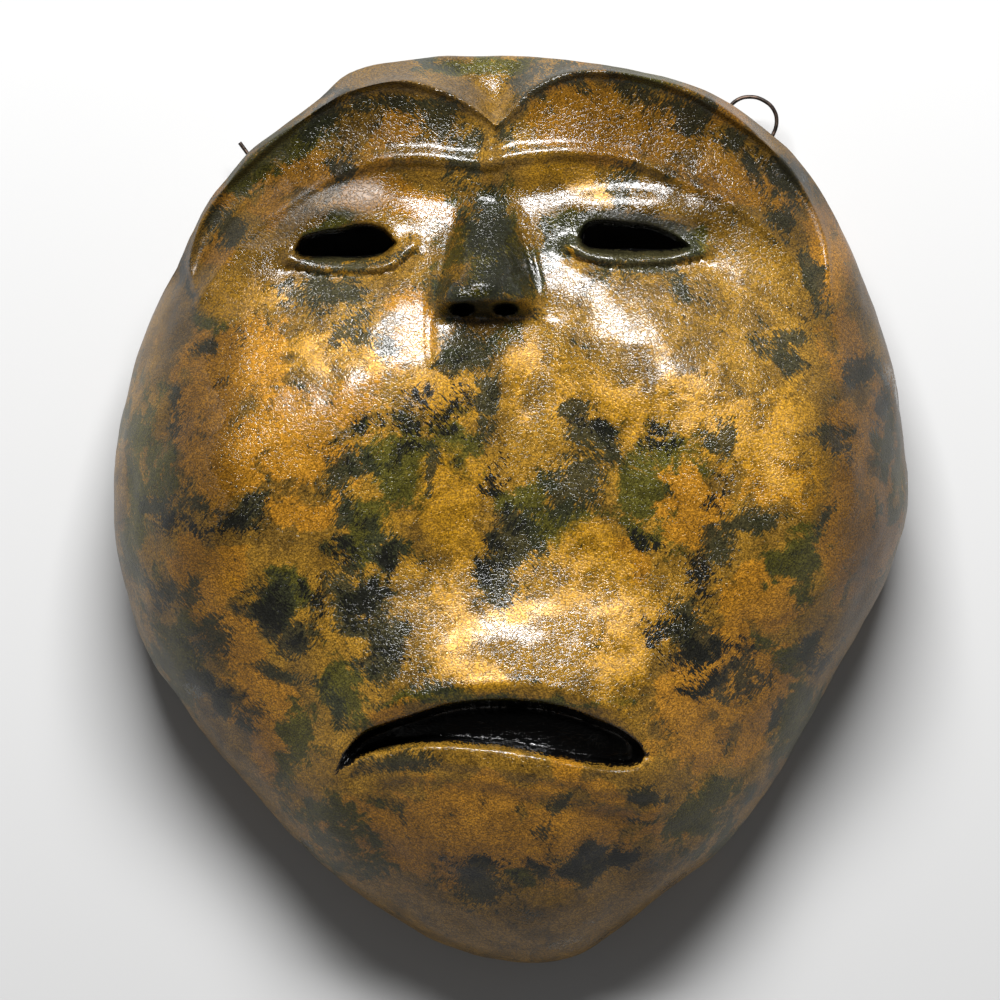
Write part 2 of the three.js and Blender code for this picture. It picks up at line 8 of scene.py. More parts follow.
import bpy
import numpy as np
from bpy.props import FloatProperty, FloatVectorProperty, IntProperty, PointerProperty
from bpy.types import Operator, Panel, PropertyGroup
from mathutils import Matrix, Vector


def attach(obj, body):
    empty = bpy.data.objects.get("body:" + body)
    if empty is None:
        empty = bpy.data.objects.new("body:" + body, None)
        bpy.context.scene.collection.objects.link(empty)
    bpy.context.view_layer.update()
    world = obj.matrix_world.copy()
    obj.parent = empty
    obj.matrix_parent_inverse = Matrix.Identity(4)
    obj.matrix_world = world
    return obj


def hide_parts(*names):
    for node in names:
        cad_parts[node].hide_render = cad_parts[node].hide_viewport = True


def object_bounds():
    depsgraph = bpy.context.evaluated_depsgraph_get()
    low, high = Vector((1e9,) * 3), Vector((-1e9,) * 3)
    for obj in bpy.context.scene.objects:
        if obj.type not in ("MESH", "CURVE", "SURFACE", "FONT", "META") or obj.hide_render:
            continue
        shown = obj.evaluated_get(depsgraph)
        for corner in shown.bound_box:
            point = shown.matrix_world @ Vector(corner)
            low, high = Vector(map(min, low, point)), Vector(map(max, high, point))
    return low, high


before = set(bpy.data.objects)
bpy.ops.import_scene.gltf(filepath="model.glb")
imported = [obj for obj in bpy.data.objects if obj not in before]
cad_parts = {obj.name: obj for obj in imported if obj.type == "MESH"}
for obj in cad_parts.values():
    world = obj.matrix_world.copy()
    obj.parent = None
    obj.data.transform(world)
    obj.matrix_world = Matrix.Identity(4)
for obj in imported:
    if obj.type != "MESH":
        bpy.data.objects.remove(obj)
cad_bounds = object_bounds()

bl_info = {
    "name": "Clay Mask",
    "version": (1, 0, 0),
    "blender": (4, 5, 0),
    "location": "View3D > Sidebar > Clay Mask",
    "description": "Builds a hand-painted clay mask, the wire it hangs by, and a plain studio",
    "category": "Add Mesh",
}

MM = 0.001

# Form of the face, in millimetres. A direction is counted in degrees round the face from +X. A
# bead or a crease along a curve is given as (height, width).
CENTRE_SHIFT = (-0.085, -0.215)
WALL_THICKNESS = 8.0
CROWN_HEIGHT = 82.0
CROWN_FALL_ACROSS = 0.0007
CROWN_FALL_ALONG = 0.0006
CROWN_MIDDLE = -10

# How far the outline lies from the middle, by direction
OUTLINE_REACH = [
    (0, 126.9), (14, 128.9), (28, 133.4), (40, 138.9), (50, 145.0), (61, 147.4), (70, 146.9),
    (80, 145.1), (90, 145.6), (100, 147.2), (107, 149.1), (111, 148.6), (115, 145.7),
    (121, 142.7), (131, 139.8), (144, 133.0), (162, 129.0), (180, 127.2), (198, 125.3),
    (212, 122.3), (225, 121.4), (236, 125.2), (250, 133.6), (262, 141.0), (272, 145.5),
    (279, 144.0), (288, 135.0), (296, 130.4), (306, 125.4), (318, 119.2), (330, 116.2),
    (342, 118.9),
]
# How wide the rounding from the dome to the outline is, by direction
SHOULDER_WIDTH = [
    (0, 50), (45, 46), (90, 34), (135, 38), (170, 46), (190, 56), (225, 90), (270, 96), (315, 88),
    (345, 60),
]
SHOULDER_POWER = 3.2
# How high the face's edge stands over the rim, by direction
OUTLINE_HEIGHT = [
    (0, 30), (30, 34), (50, 42), (65, 52), (80, 58), (98, 60), (110, 58), (122, 48), (136, 36),
    (155, 31), (180, 30), (225, 24), (270, 22), (315, 24),
]
# How far the side wall draws in below that edge, by direction
SIDE_TUCK = [
    (0, 5), (60, 5), (110, 6), (124, 9), (138, 12), (152, 9), (168, 6), (225, 5), (270, 6),
    (315, 5),
]
SIDE_TUCK_POWER = 1.6


def through_points(points, steps=9):
    """Smooth curve through points, with evenly counted steps between them."""
    knots = np.array([points[0], *points, points[-1]], float)
    parts = []
    for before, start, end, after in zip(knots, knots[1:], knots[2:], knots[3:]):
        share = np.arange(steps)[:, None] / steps
        enter, leave = (end - before) / 2, (after - start) / 2
        parts.append(
            (2 * start - 2 * end + enter + leave) * share**3
            + (-3 * start + 3 * end - 2 * enter - leave) * share**2
            + enter * share + start
        )
    return np.vstack([*parts, knots[-1:]])


# Each cheek: its middle and reach across the face, how its upper edge leans, the levels between
# which that edge rises, and how steeply
CHEEKS = [
    {"middle": -68, "reach": 60, "lean": 0.42, "pivot": 66, "levels": (82, 32), "slope": 0.4},
    {"middle": 72, "reach": 54, "lean": 0.58, "pivot": 54, "levels": (84, 43), "slope": 0.38},
]
CHEEK_ROUNDING = 11
CHEEK_FOOT = -70
CHEEK_TOP = 34

# Rounded swellings and, where the height is negative, hollows: (middle, reach, height, turn)
MIDDLE_SWELLING = ((0, 20), (30, 50), 4, 0)
CHIN_SWELLING = ((3, -112), (40, 18), 3, 0)
SOCKET_SHAPES = [
    ((-50, 82), (30, 13), -4, 8), ((42, 84), (30, 13), -3, -6),
    ((-24, 106), (13, 8), -3, 0), ((9, 106), (13, 7), -3, 0),
    ((-54, 96), (24, 6.5), 2.4, 10), ((40, 97), (26, 6), 2.8, -6),
]
HOLLOW_SHAPES = [
    ((-8, 88), (7, 13), 4, 0), ((-46, 84), (32, 18), -3, 0), ((42, 86), (32, 18), -3, 0),
    ((-4, -72), (60, 20), -3, 0), ((6, -112), (46, 24), -3, 0),
]
MUZZLE = {"middle": -1, "reach": 62, "height": 13, "rise": (-12, -61), "fall": (-125, -75)}

BROWS = [
    {
        "upper": through_points([
            (-4.5, 122.5), (-12, 128.5), (-22.7, 134), (-36, 137), (-51.5, 133.6), (-64.3, 126.2),
            (-83.5, 111.6), (-97.4, 94.5), (-102.2, 80), (-99.5, 68),
        ]),
        "lower": through_points([
            (-3.5, 111.6), (-13, 111.2), (-23, 112.2), (-33, 112.8), (-45, 111.4), (-58, 106.4),
            (-70, 98.6), (-82, 90.3), (-91, 79.4), (-99, 68),
        ]),
        "roll": (-102, -98),
    },
    {
        "upper": through_points([
            (-4.5, 122.5), (1.5, 128.5), (7, 134), (15.7, 138.4), (25.3, 140), (41.3, 138.4),
            (60.5, 132), (79.7, 118.7), (92.5, 104.3), (100, 86.7), (101.5, 72),
        ]),
        "lower": through_points([
            (-8.5, 110.8), (0, 112.8), (13, 114.2), (27, 113.8), (39, 111.8), (53, 106),
            (67, 100.2), (79, 92), (89, 81.5), (98, 70),
        ]),
        "roll": (98, 78),
    },
]
BROW_MIDDLE = -3.5
BROW_HEIGHT = 80.5
BROW_FALL = 0.0022
BROW_STAND = 2.0
BROW_BAND_WIDTH = 22.0
BROW_WIDENING = 1.6
BROW_HOLLOW = 2.5
BROW_HOLLOW_LEAN = 0.7
BROW_DROP = 2
BROW_CREST = (1.3, 1.5)
BROW_ROLL = (1.3, 3.4)
# The skin falls steeply above the band, and softly below it
ABOVE_BROW = {"start": 0.4, "slope": 2}
BELOW_BROW = {"width": 3, "slope": 0.45, "beyond": 0.05, "blend": (4, 16)}
BROW_JOIN = through_points([(-5, 123), (-6.4, 116), (-6.4, 108), (-6, 100)])
BROW_JOIN_BEAD = (2.2, 2.2)
BROW_JOIN_END = (97, 109)

EYES = [
    {
        "upper": through_points([
            (-68.6, 83.4), (-66, 87), (-60, 88.8), (-54, 89.6), (-48, 91.2), (-41, 90),
            (-36.6, 85.4),
        ]),
        "lower": through_points([
            (-68.6, 83.2), (-66, 81.2), (-57, 80.8), (-47, 81), (-40.6, 82), (-36.6, 85.2),
        ]),
        "lid": through_points([
            (-70.5, 80.4), (-61, 78.2), (-52, 78), (-43.5, 78.2), (-38, 79.4), (-34.2, 82),
            (-31.2, 85),
        ]),
    },
    {
        "upper": through_points([
            (22, 87.4), (24, 90.8), (28, 92), (36, 91.4), (44.5, 90.4), (51, 87.8), (56.4, 84.4),
        ]),
        "lower": through_points([
            (22, 87.2), (24, 84.2), (30, 83.2), (41, 83.2), (50, 83), (56.4, 84.2),
        ]),
        "lid": through_points([
            (18.5, 84.6), (25, 81.8), (33, 80.6), (42, 80.4), (52, 81), (62, 83.4),
        ]),
    },
]
UPPER_LID_BEAD = (1.4, 4)
LOWER_LID_BEAD = (2.0, 2.2)
LID_CREASE = (1.8, 1.3)
LID_CREASE_DROP = 3.2
EYE_SINK = 6
EYE_STEP = (-1.2, 1.2)

# Levels of the nose, from the crown's side down
NOSE_SPREAD = 110.0
NOSE_ROOT = 106.0
NOSE_TIP = 72.0
NOSE_EDGE = 69.5
NOSE_BASE = 61.5
NOSE_RISE = 15.0
NOSE_MIDDLE = -7
NOSE_LEAN = 0.9
# Half its width at its top, and how much wider it grows down to its base
NOSE_HALF_WIDTH = (2.5, 16)
NOSE_FLARE = 0.8
NOSE_FADE = 1.1
NOSE_FLATNESS = 2.6
NOSE_SHAPES = [
    ((-8.5, 72), (5.5, 4), 1.6, 0), ((-20, 69.5), (4.6, 5.4), 2.6, 0),
    ((4.2, 69.5), (4.6, 5.4), 2.6, 0),
]
NOSTRILS = [(-15.5, 64.3), (-1.9, 64.4)]
NOSTRIL_REACH = (3.8, 1.8)
NOSTRIL_DEPTH = 7.0
NOSTRIL_RIM = 0.35
NOSE_CREASE_BEAD = (0.7, 1.0)
NOSE_CREASES = [
    through_points([(-22.4, 71), (-21.5, 73.6), (-19.5, 75.6), (-16.5, 75), (-14.6, 71.6)]),
    through_points([(-2, 71.4), (-0.8, 75), (1.4, 76.4), (3.6, 75.2), (5.4, 71.4)]),
]
NOSE_SEAM_BEAD = (0.8, 1.2)
NOSE_SEAMS = [
    through_points([
        (0.6, 97), (4.6, 90.6), (7, 83), (8.6, 77), (9.8, 70.6), (10, 62), (13, 59.4),
    ]),
    through_points([(-22.6, 79.6), (-24.6, 70), (-26, 61.8), (-25.8, 48.3)]),
]

UPPER_LIP = through_points([
    (-55.5, -83), (-53, -77), (-46.7, -70.8), (-38.9, -67.4), (-29.9, -64.4), (-22, -62.1),
    (-12, -60.6), (-2, -60.2), (9, -60.7), (18.2, -62.7), (27.2, -66), (35, -69.4), (40.6, -73.6),
    (42.8, -77.4),
])
LOWER_LIP = through_points([
    (-55.5, -83.4), (-51.2, -80.4), (-45.6, -77.3), (-37.8, -74.8), (-28.8, -73.9), (-19.8, -73.6),
    (-9.8, -74.3), (-0.8, -75.3), (9.3, -77.2), (19.4, -79.2), (29.4, -81), (36.5, -81.4),
    (41, -80.2), (42.8, -77.8),
])
CHIN_FOLD = through_points([
    (-50, -84.6), (-44, -82.4), (-28, -81.8), (-12, -83), (4, -85.2), (20, -88.4), (34, -91),
    (43, -92),
])
CHIN_SET_BACK = 7.5
CHIN_CREASE = (1.1, 2.4)
CHIN_CREASE_DROP = 1
MOUTH_DEPTH = 8
LOWER_LIP_HEIGHT = 2.4
UPPER_LIP_RIM = (0.6, 1.3)
UPPER_LIP_RIM_RISE = 5.6
# The upper lip rolls down towards the mouth, given as (depth, width)
UPPER_LIP_ROLL = (3, 6.5)
# Forms of the mouth fade in over one stretch at the left, and over another at the right
CHIN_ENDS = [(-60, -36), (47, 31)]
RECESS_ENDS = [(-56, -46), (44, 38)]
LIP_ENDS = [(-52, -38), (48, 36)]
# How far above a curve of the mouth, or inside it, a form starts and is whole
CHIN_STEP = (0.8, -1.2)
RECESS_STEP = (-0.6, 2.4)
LIP_STEP = (0, -1.5)
FOLD_STEP = (-6.5, -1)


def soft_max(first, second):
    """The larger of two heights, rounded where they meet."""
    return 0.5 * (first + second + np.hypot(first - second, 1))


def smooth_step(start, end, value):
    """0 before start, 1 past end, and a smooth rise between them."""
    share = np.clip((value - start) / (end - start), 0, 1)
    return share * share * (3 - 2 * share)


def between(ends, x):
    """1 between two ends across the face, and a smooth fall to 0 past each."""
    left, right = ends
    return smooth_step(*left, x) * smooth_step(*right, x)


def straight_rise(start, end, value, rounding):
    """Rises one for one as the value goes down from start to end, with rounded corners."""
    corners = np.hypot(start - value, rounding) - np.hypot(end - value, rounding)
    return 0.5 * (corners + start - end)


def round_the_face(knots, direction):
    """Smooth closed curve through (direction, value) knots, read at directions in degrees."""
    angles, values = np.array(knots, float).T
    angle = np.mod(direction, 360)
    index = (np.searchsorted(angles, angle, side="right") - 1) % len(angles)
    at = [(index + step) % len(angles) for step in (-1, 0, 1, 2)]

    def gap(first, second):
        return np.mod(angles[second] - angles[first], 360)

    def slope(before, after):
        return (values[after] - values[before]) / gap(before, after)

    span = gap(at[1], at[2])
    share = np.mod(angle - angles[at[1]], 360) / span
    rest = 1 - share
    return (
        (1 + 2 * share) * rest * rest * values[at[1]]
        + share * rest * rest * span * slope(at[0], at[2])
        + share * share * (3 - 2 * share) * values[at[2]]
        - share * share * rest * span * slope(at[1], at[3])
    )


def distance_to(curve, x, y):
    """Distance to the nearest point of a curve."""
    nearest = np.full(np.shape(x), np.inf)
    for (ax, ay), (bx, by) in zip(curve[:-1], curve[1:]):
        dx, dy = bx - ax, by - ay
        share = np.clip(((x - ax) * dx + (y - ay) * dy) / (dx * dx + dy * dy), 0, 1)
        nearest = np.minimum(nearest, np.hypot(x - ax - share * dx, y - ay - share * dy))
    return nearest


def level_of(curve, x):
    """Height on the page of a left-to-right curve."""
    return np.interp(x, curve[:, 0], curve[:, 1])


def is_between(upper, lower, x, y):
    """Whether points lie in the area that two left-to-right curves close in."""
    edge = np.vstack([upper, lower[::-1]])
    inside = np.zeros(np.shape(x), bool)
    for (ax, ay), (bx, by) in zip(edge, np.roll(edge, -1, axis=0)):
        if ay != by:
            crosses = ((ay > y) != (by > y)) & (x < ax + (y - ay) * (bx - ax) / (by - ay))
            inside ^= crosses
    return inside


def inside_eye(eye, x, y):
    """Distance in from the edge of an eye slit, negative outside it."""
    rim = np.minimum(distance_to(eye["upper"], x, y), distance_to(eye["lower"], x, y))
    return np.where(is_between(eye["upper"], eye["lower"], x, y), rim, -rim)


def turned_shares(x, y, middle, reach, turn):
    """Place along and across a turned oval, as shares of its reach."""
    angle = math.radians(turn)
    dx, dy = x - middle[0], y - middle[1]
    along = (dx * math.cos(angle) + dy * math.sin(angle)) / reach[0]
    across = (dy * math.cos(angle) - dx * math.sin(angle)) / reach[1]
    return along, across


def oval(x, y, middle, reach):
    """0 in the middle of an upright oval, and 1 on its edge."""
    return np.hypot((x - middle[0]) / reach[0], (y - middle[1]) / reach[1])


def mound(x, y, middle, reach, turn=0.0):
    """Rounded swelling, 1 high in its middle."""
    along, across = turned_shares(x, y, middle, reach, turn)
    return np.exp(-along * along - across * across)


def height_of(shapes, x, y):
    return sum(height * mound(x, y, middle, reach, turn) for middle, reach, height, turn in shapes)


def bead(distance, height, width):
    """Rounded ridge along a curve, from the distance to it."""
    return height * np.exp(-((distance / width) ** 2))


def flat_bell(x, middle, reach):
    return np.exp(-((np.abs(x - middle) / reach) ** 4))


def broad_form(x, y, inset):
    """The domed shield with its cheeks; the hollow is the same form, drawn in and sunk."""
    direction = np.degrees(np.arctan2(y, x))
    reach = round_the_face(OUTLINE_REACH, direction) - inset
    within = np.maximum(reach - np.hypot(x, y), 0)
    outward = 1 - np.minimum(within / round_the_face(SHOULDER_WIDTH, direction), 1)
    edge = round_the_face(OUTLINE_HEIGHT, direction) - inset / 2
    crown = CROWN_HEIGHT - inset - CROWN_FALL_ACROSS * x * x
    crown = crown - CROWN_FALL_ALONG * (y - CROWN_MIDDLE) ** 2
    dome = np.sqrt(1 - outward**SHOULDER_POWER)
    z = edge + (crown - edge) * dome
    for cheek in CHEEKS:
        level = y + cheek["lean"] * (np.abs(x) - cheek["pivot"])
        rise = cheek["slope"] * straight_rise(*cheek["levels"], level, CHEEK_ROUNDING)
        across = flat_bell(x, cheek["middle"], cheek["reach"])
        z = z + rise * across * smooth_step(CHEEK_FOOT, CHEEK_TOP, level) * dome
    return z + height_of([CHIN_SWELLING], x, y)


def brow(x, y, z, shape):
    """A band with a thin raised edge above, a hollow along it and a rolled edge below."""
    above = distance_to(shape["upper"], x, y)
    below = distance_to(shape["lower"], x, y)
    width = np.tanh(BROW_WIDENING * (above + below) / BROW_BAND_WIDTH)
    share = above / np.maximum(above + below, 0.1)
    arch = BROW_HEIGHT - BROW_FALL * (x - BROW_MIDDLE) ** 2
    crest = soft_max(arch, z + BROW_STAND * width) + width * bead(above, *BROW_CREST)
    hollow = BROW_HOLLOW * np.sin(np.pi * share**BROW_HOLLOW_LEAN)
    band = crest - width * (hollow + BROW_DROP * share)
    out = np.minimum(above, below)
    under = smooth_step(-BELOW_BROW["width"], BELOW_BROW["width"], above - below)
    steep = ABOVE_BROW["slope"] * np.maximum(out - ABOVE_BROW["start"], 0)
    soft = BELOW_BROW["slope"] * np.minimum(out, BELOW_BROW["width"])
    soft = soft + BELOW_BROW["beyond"] * np.maximum(out - BELOW_BROW["width"], 0)
    outside = crest - (BROW_DROP * width + soft) * under - steep * (1 - under)
    inside = is_between(shape["upper"], shape["lower"], x, y)
    over = np.where(inside, band, outside)
    roll_height, roll_width = BROW_ROLL
    roll = roll_height * np.maximum(1 - (below / roll_width) ** 2, 0)
    over = over + roll * smooth_step(*shape["roll"], x)
    hold = np.where(inside, 1, 1 - smooth_step(*BELOW_BROW["blend"], out) * under)
    return z + hold * (soft_max(over, z) - z)


def nose(x, y, z):
    """A wedge that widens to its base, with two nostrils and the seams where it was joined on."""
    down = np.clip((NOSE_SPREAD - y) / (NOSE_SPREAD - NOSE_BASE), 0, 1)
    to_tip = np.clip((NOSE_ROOT - y) / (NOSE_ROOT - NOSE_TIP), 0, 1)
    half_width = NOSE_HALF_WIDTH[0] + NOSE_HALF_WIDTH[1] * down**NOSE_FLARE
    across = np.abs(x - NOSE_MIDDLE + NOSE_LEAN * to_tip) / half_width
    under = np.clip((y - NOSE_BASE) / (NOSE_EDGE - NOSE_BASE), 0, 1)
    rise = NOSE_RISE * smooth_step(0, NOSE_FADE, to_tip) * under * (2 - under)
    z = z + rise * np.maximum(1 - across**NOSE_FLATNESS, 0)
    z = z + height_of(NOSE_SHAPES, x, y)
    for nostril in NOSTRILS:
        opening = (1 + 2 * NOSTRIL_RIM) * mound(x, y, nostril, NOSTRIL_REACH) - NOSTRIL_RIM
        z = z - NOSTRIL_DEPTH * np.clip(opening, 0, 1)
    for crease in NOSE_CREASES:
        z = z - bead(distance_to(crease, x, y), *NOSE_CREASE_BEAD)
    for seam in NOSE_SEAMS:
        z = z + bead(distance_to(seam, x, y), *NOSE_SEAM_BEAD)
    return z


def eye_sockets(x, y, z):
    """Sunk sockets, each with an upper lid, a rounded lower lid and a sunk slit."""
    z = z + height_of(SOCKET_SHAPES, x, y)
    for eye in EYES:
        z = z + bead(distance_to(eye["upper"], x, y), *UPPER_LID_BEAD)
        z = z + bead(distance_to(eye["lid"], x, y), *LOWER_LID_BEAD)
        z = z - bead(distance_to(eye["lid"] - (0, LID_CREASE_DROP), x, y), *LID_CREASE)
        z = z - EYE_SINK * smooth_step(*EYE_STEP, inside_eye(eye, x, y))
    return z


def mouth(x, y, z):
    """A chin set back under the upper lip, the sunk mouth, and the lower lip with its fold."""
    top, bottom, fold = (level_of(curve, x) for curve in (UPPER_LIP, LOWER_LIP, CHIN_FOLD))
    across = between(CHIN_ENDS, x)
    set_back = CHIN_SET_BACK * smooth_step(*CHIN_STEP, y - top)
    roll_depth, roll_width = UPPER_LIP_ROLL
    roll = roll_depth * np.clip(1 - np.abs(y - top) / roll_width, 0, 1) ** 2
    recess = MOUTH_DEPTH * smooth_step(*RECESS_STEP, np.minimum(top - y, y - bottom))
    recess = recess * between(RECESS_ENDS, x)
    lip = LOWER_LIP_HEIGHT * smooth_step(*LIP_STEP, y - bottom) * smooth_step(*FOLD_STEP, y - fold)
    lip = lip * between(LIP_ENDS, x)
    rim = bead(distance_to(UPPER_LIP + (0, UPPER_LIP_RIM_RISE), x, y), *UPPER_LIP_RIM) * across
    crease = bead(distance_to(CHIN_FOLD - (0, CHIN_CREASE_DROP), x, y), *CHIN_CREASE)
    return z - (set_back + roll) * across - recess + lip + rim - crease


def face_height(x, y):
    z = broad_form(x, y, 0) + height_of([MIDDLE_SWELLING], x, y)
    muzzle = MUZZLE["height"] * flat_bell(x, MUZZLE["middle"], MUZZLE["reach"])
    z = z + muzzle * smooth_step(*MUZZLE["rise"], y) * smooth_step(*MUZZLE["fall"], y)
    z = eye_sockets(x, y, z)
    z = np.maximum(*(brow(x, y, z, shape) for shape in BROWS))
    join = bead(distance_to(BROW_JOIN, x, y), *BROW_JOIN_BEAD)
    z = z + join * smooth_step(*BROW_JOIN_END, y)
    return mouth(x, y, nose(x, y, z))


def hollow_height(x, y):
    return broad_form(x, y, WALL_THICKNESS) + height_of(HOLLOW_SHAPES, x, y)


# Rows of the shell's mesh, counted along its section from the middle of the face, over the
# outline, down the side wall, across the rim and up to the middle of the hollow
SEGMENTS = 320
SECTION_ROWS = [110, 14, 4, 2, 3, 7, 20]
FACE, WALL, OUTER_ROUND, RIM, INNER_ROUND, INNER_WALL, HOLLOW = range(len(SECTION_ROWS))
ROW_ENDS = np.cumsum(SECTION_ROWS)
RIM_ROUNDING = 1.8
INNER_WALL_LEAN = 0.7
ROW_BUNCHING = 0.2


def bunched(share):
    """Inset from an edge, as a share of the whole, with its rows bunched near the edge."""
    span = math.hypot(1, ROW_BUNCHING) - ROW_BUNCHING
    return (np.hypot(share, ROW_BUNCHING) - ROW_BUNCHING) / span


def shell_point(row, direction):
    """Place of a point of the skin, by its row along the section and its direction."""
    angle = np.radians(direction)
    reach = round_the_face(OUTLINE_REACH, direction)
    tuck = round_the_face(SIDE_TUCK, direction)
    edge_height = face_height(reach * np.cos(angle), reach * np.sin(angle))
    hollow_foot = reach - tuck - WALL_THICKNESS
    hollow_reach = hollow_foot - INNER_WALL_LEAN
    radius = np.zeros_like(row)
    z = np.zeros_like(row)

    def stretch(index):
        """Which points lie on a stretch of the section, and how far along it they are."""
        start = ROW_ENDS[index - 1] if index else -1
        inside = (row > start) & (row <= ROW_ENDS[index])
        return inside, ((row - start) / (ROW_ENDS[index] - start))[inside]

    def height(surface, out, inside):
        return surface((out * np.cos(angle))[inside], (out * np.sin(angle))[inside])

    inside = stretch(FACE)[0]
    radius[inside] = (reach * (1 - bunched(np.clip(1 - row / ROW_ENDS[FACE], 0, 1))))[inside]
    z[inside] = height(face_height, radius, inside)

    inside, share = stretch(WALL)
    z[inside] = edge_height[inside] * (1 - share) + RIM_ROUNDING * share
    down = 1 - z[inside] / edge_height[inside]
    radius[inside] = reach[inside] - tuck[inside] * down**SIDE_TUCK_POWER

    inside, share = stretch(OUTER_ROUND)
    foot = (reach - tuck * (1 - RIM_ROUNDING / edge_height) ** SIDE_TUCK_POWER)[inside]
    radius[inside] = foot - RIM_ROUNDING * (1 - np.cos(share * np.pi / 2))
    z[inside] = RIM_ROUNDING * (1 - np.sin(share * np.pi / 2))

    inside, share = stretch(RIM)
    start = (reach - tuck - RIM_ROUNDING)[inside]
    end = (hollow_foot + RIM_ROUNDING)[inside]
    radius[inside] = start + (end - start) * share

    inside, share = stretch(INNER_ROUND)
    radius[inside] = hollow_foot[inside] + RIM_ROUNDING * (1 - np.sin(share * np.pi / 2))
    z[inside] = RIM_ROUNDING * (1 - np.cos(share * np.pi / 2))

    inside, share = stretch(INNER_WALL)
    top = height(hollow_height, hollow_reach, inside)
    radius[inside] = hollow_foot[inside] - INNER_WALL_LEAN * share
    z[inside] = RIM_ROUNDING + (top - RIM_ROUNDING) * share

    inside, share = stretch(HOLLOW)
    radius[inside] = hollow_reach[inside] * (1 - bunched(share))
    z[inside] = height(hollow_height, radius, inside)

    return np.stack([
        radius * np.cos(angle) + CENTRE_SHIFT[0], radius * np.sin(angle) + CENTRE_SHIFT[1], z,
    ], axis=-1)


# Paint: where each colour was dabbed on, as (x, y, half width, half height, turn in degrees) in
# millimetres
SLATE_DABS = [
    (-36, 128, 7.7, 4.5, 0), (-26, 124, 8, 6.4, 0), (-16, 116, 9, 4.5, -38),
    (-11, 111, 3.8, 2.9, 0), (-60, 126, 5.1, 7.7, 0), (-50, 128, 5.4, 3.2, 0),
    (-52, 110, 4.5, 5.8, 0), (-96, 94, 3.8, 7.7, 0), (-88, 91, 4.5, 7, 20),
    (-101, 76, 2.2, 7.7, 15), (-8, 92, 5.8, 11, 0), (-3, 76, 7.7, 6.4, 0), (-17, 70, 5.8, 5.1, 0),
    (-63, 73, 7.7, 3.5, 0), (-53, 70, 7, 5.1, 0), (-49, 59, 4.2, 8, 0), (-44, 52, 5.4, 4.2, 0),
    (-13, 53, 5.8, 9, 0), (-8, 35, 2.9, 10, 0), (15, 134, 7.7, 3.8, 0), (36, 137, 8, 2.6, -8),
    (48, 131, 10, 4.8, -15), (57, 125, 5.8, 4.5, 0), (69, 118, 4.8, 2.6, 0), (78, 113, 3.8, 3.2, 0),
    (89, 105, 6.4, 7, 0), (85, 95, 4.8, 5.8, 0), (36, 107, 4.5, 7, 0), (1, 119, 3.2, 3.5, 0),
    (14, 88, 4.8, 10, 0), (41, 76, 12, 3.8, -8), (96, 74, 3.5, 8, 30), (89, 55, 6.1, 6.4, 0),
    (92, 47, 2.6, 5.1, 0), (20, 32, 4.5, 3.2, 0), (25, 20, 7, 5.8, 0), (19, 7, 7.7, 8, 0),
    (65, 20, 4.5, 4.5, 0), (101, 23, 3.8, 2.9, 0), (99, 1, 2.2, 6.4, -30), (1, -12, 7.7, 8, 0),
    (-4, -22, 7, 5.8, 0), (-49, 13, 7.7, 5.1, 20), (-53, -3, 3.8, 10, 0), (-26, 14, 1.9, 6.4, 0),
    (-39, -14, 5.8, 5.8, 0), (-52, -25, 6.4, 8, 0), (-44, -36, 7.7, 5.8, 0), (-77, -31, 7.7, 7, 0),
    (-67, -36, 6.4, 6.4, 0), (-112, 2, 5.8, 4.2, 0), (-108, 32, 2.6, 8, 0), (-101, 3, 6.4, 4.2, 0),
    (-84, 1, 4.2, 3.2, 0), (-106, -26, 7, 4.2, 0), (-95, -41, 6.4, 6.4, 0), (-89, -62, 8, 4.5, -20),
    (-98, -57, 5.8, 2.9, -20), (-69, -50, 7.7, 2.9, 0), (-56, -62, 3.8, 8, 0),
    (-43, -49, 4.5, 7.7, 0), (-39, -80, 10, 3.2, 0), (-23, -58, 6.4, 2.6, 0), (57, -41, 5.1, 7, 0),
    (72, -52, 6.4, 4.2, 0), (68, -57, 4.2, 3.2, 0), (97, -43, 5.1, 3.8, 0), (85, -66, 1.9, 6.4, 0),
    (69, -7, 4.5, 8, 0), (76, -3, 6.4, 4.5, 0), (54, -29, 5.8, 3.8, 0), (112, 46, 5.8, 3.8, 0),
    (119, 35, 3.2, 7, 0), (-13, -120, 10, 3.8, 0), (14, -113, 5.8, 3.8, 0), (25, -113, 5.1, 5.4, 0),
    (36, -112, 2.6, 1.9, 0), (41, -99, 2.6, 1.9, 0), (-26, 144, 7, 1.9, 0), (4, 140, 7, 2.9, 0),
    (-98, 52, 6.1, 2.6, 10), (12, -94, 5.1, 3.2, 30), (-31, -105, 2.6, 1.6, 0),
    # The dab at (-8.6, 65.5) is slate paint and painted shade under the nose
    (44, -88, 3.8, 2.9, 0), (-52, 79.8, 16, 1.8, 0), (-8.6, 65.5, 14, 3.5, 0),
    (-59, 71, 13, 6.5, 0),
]
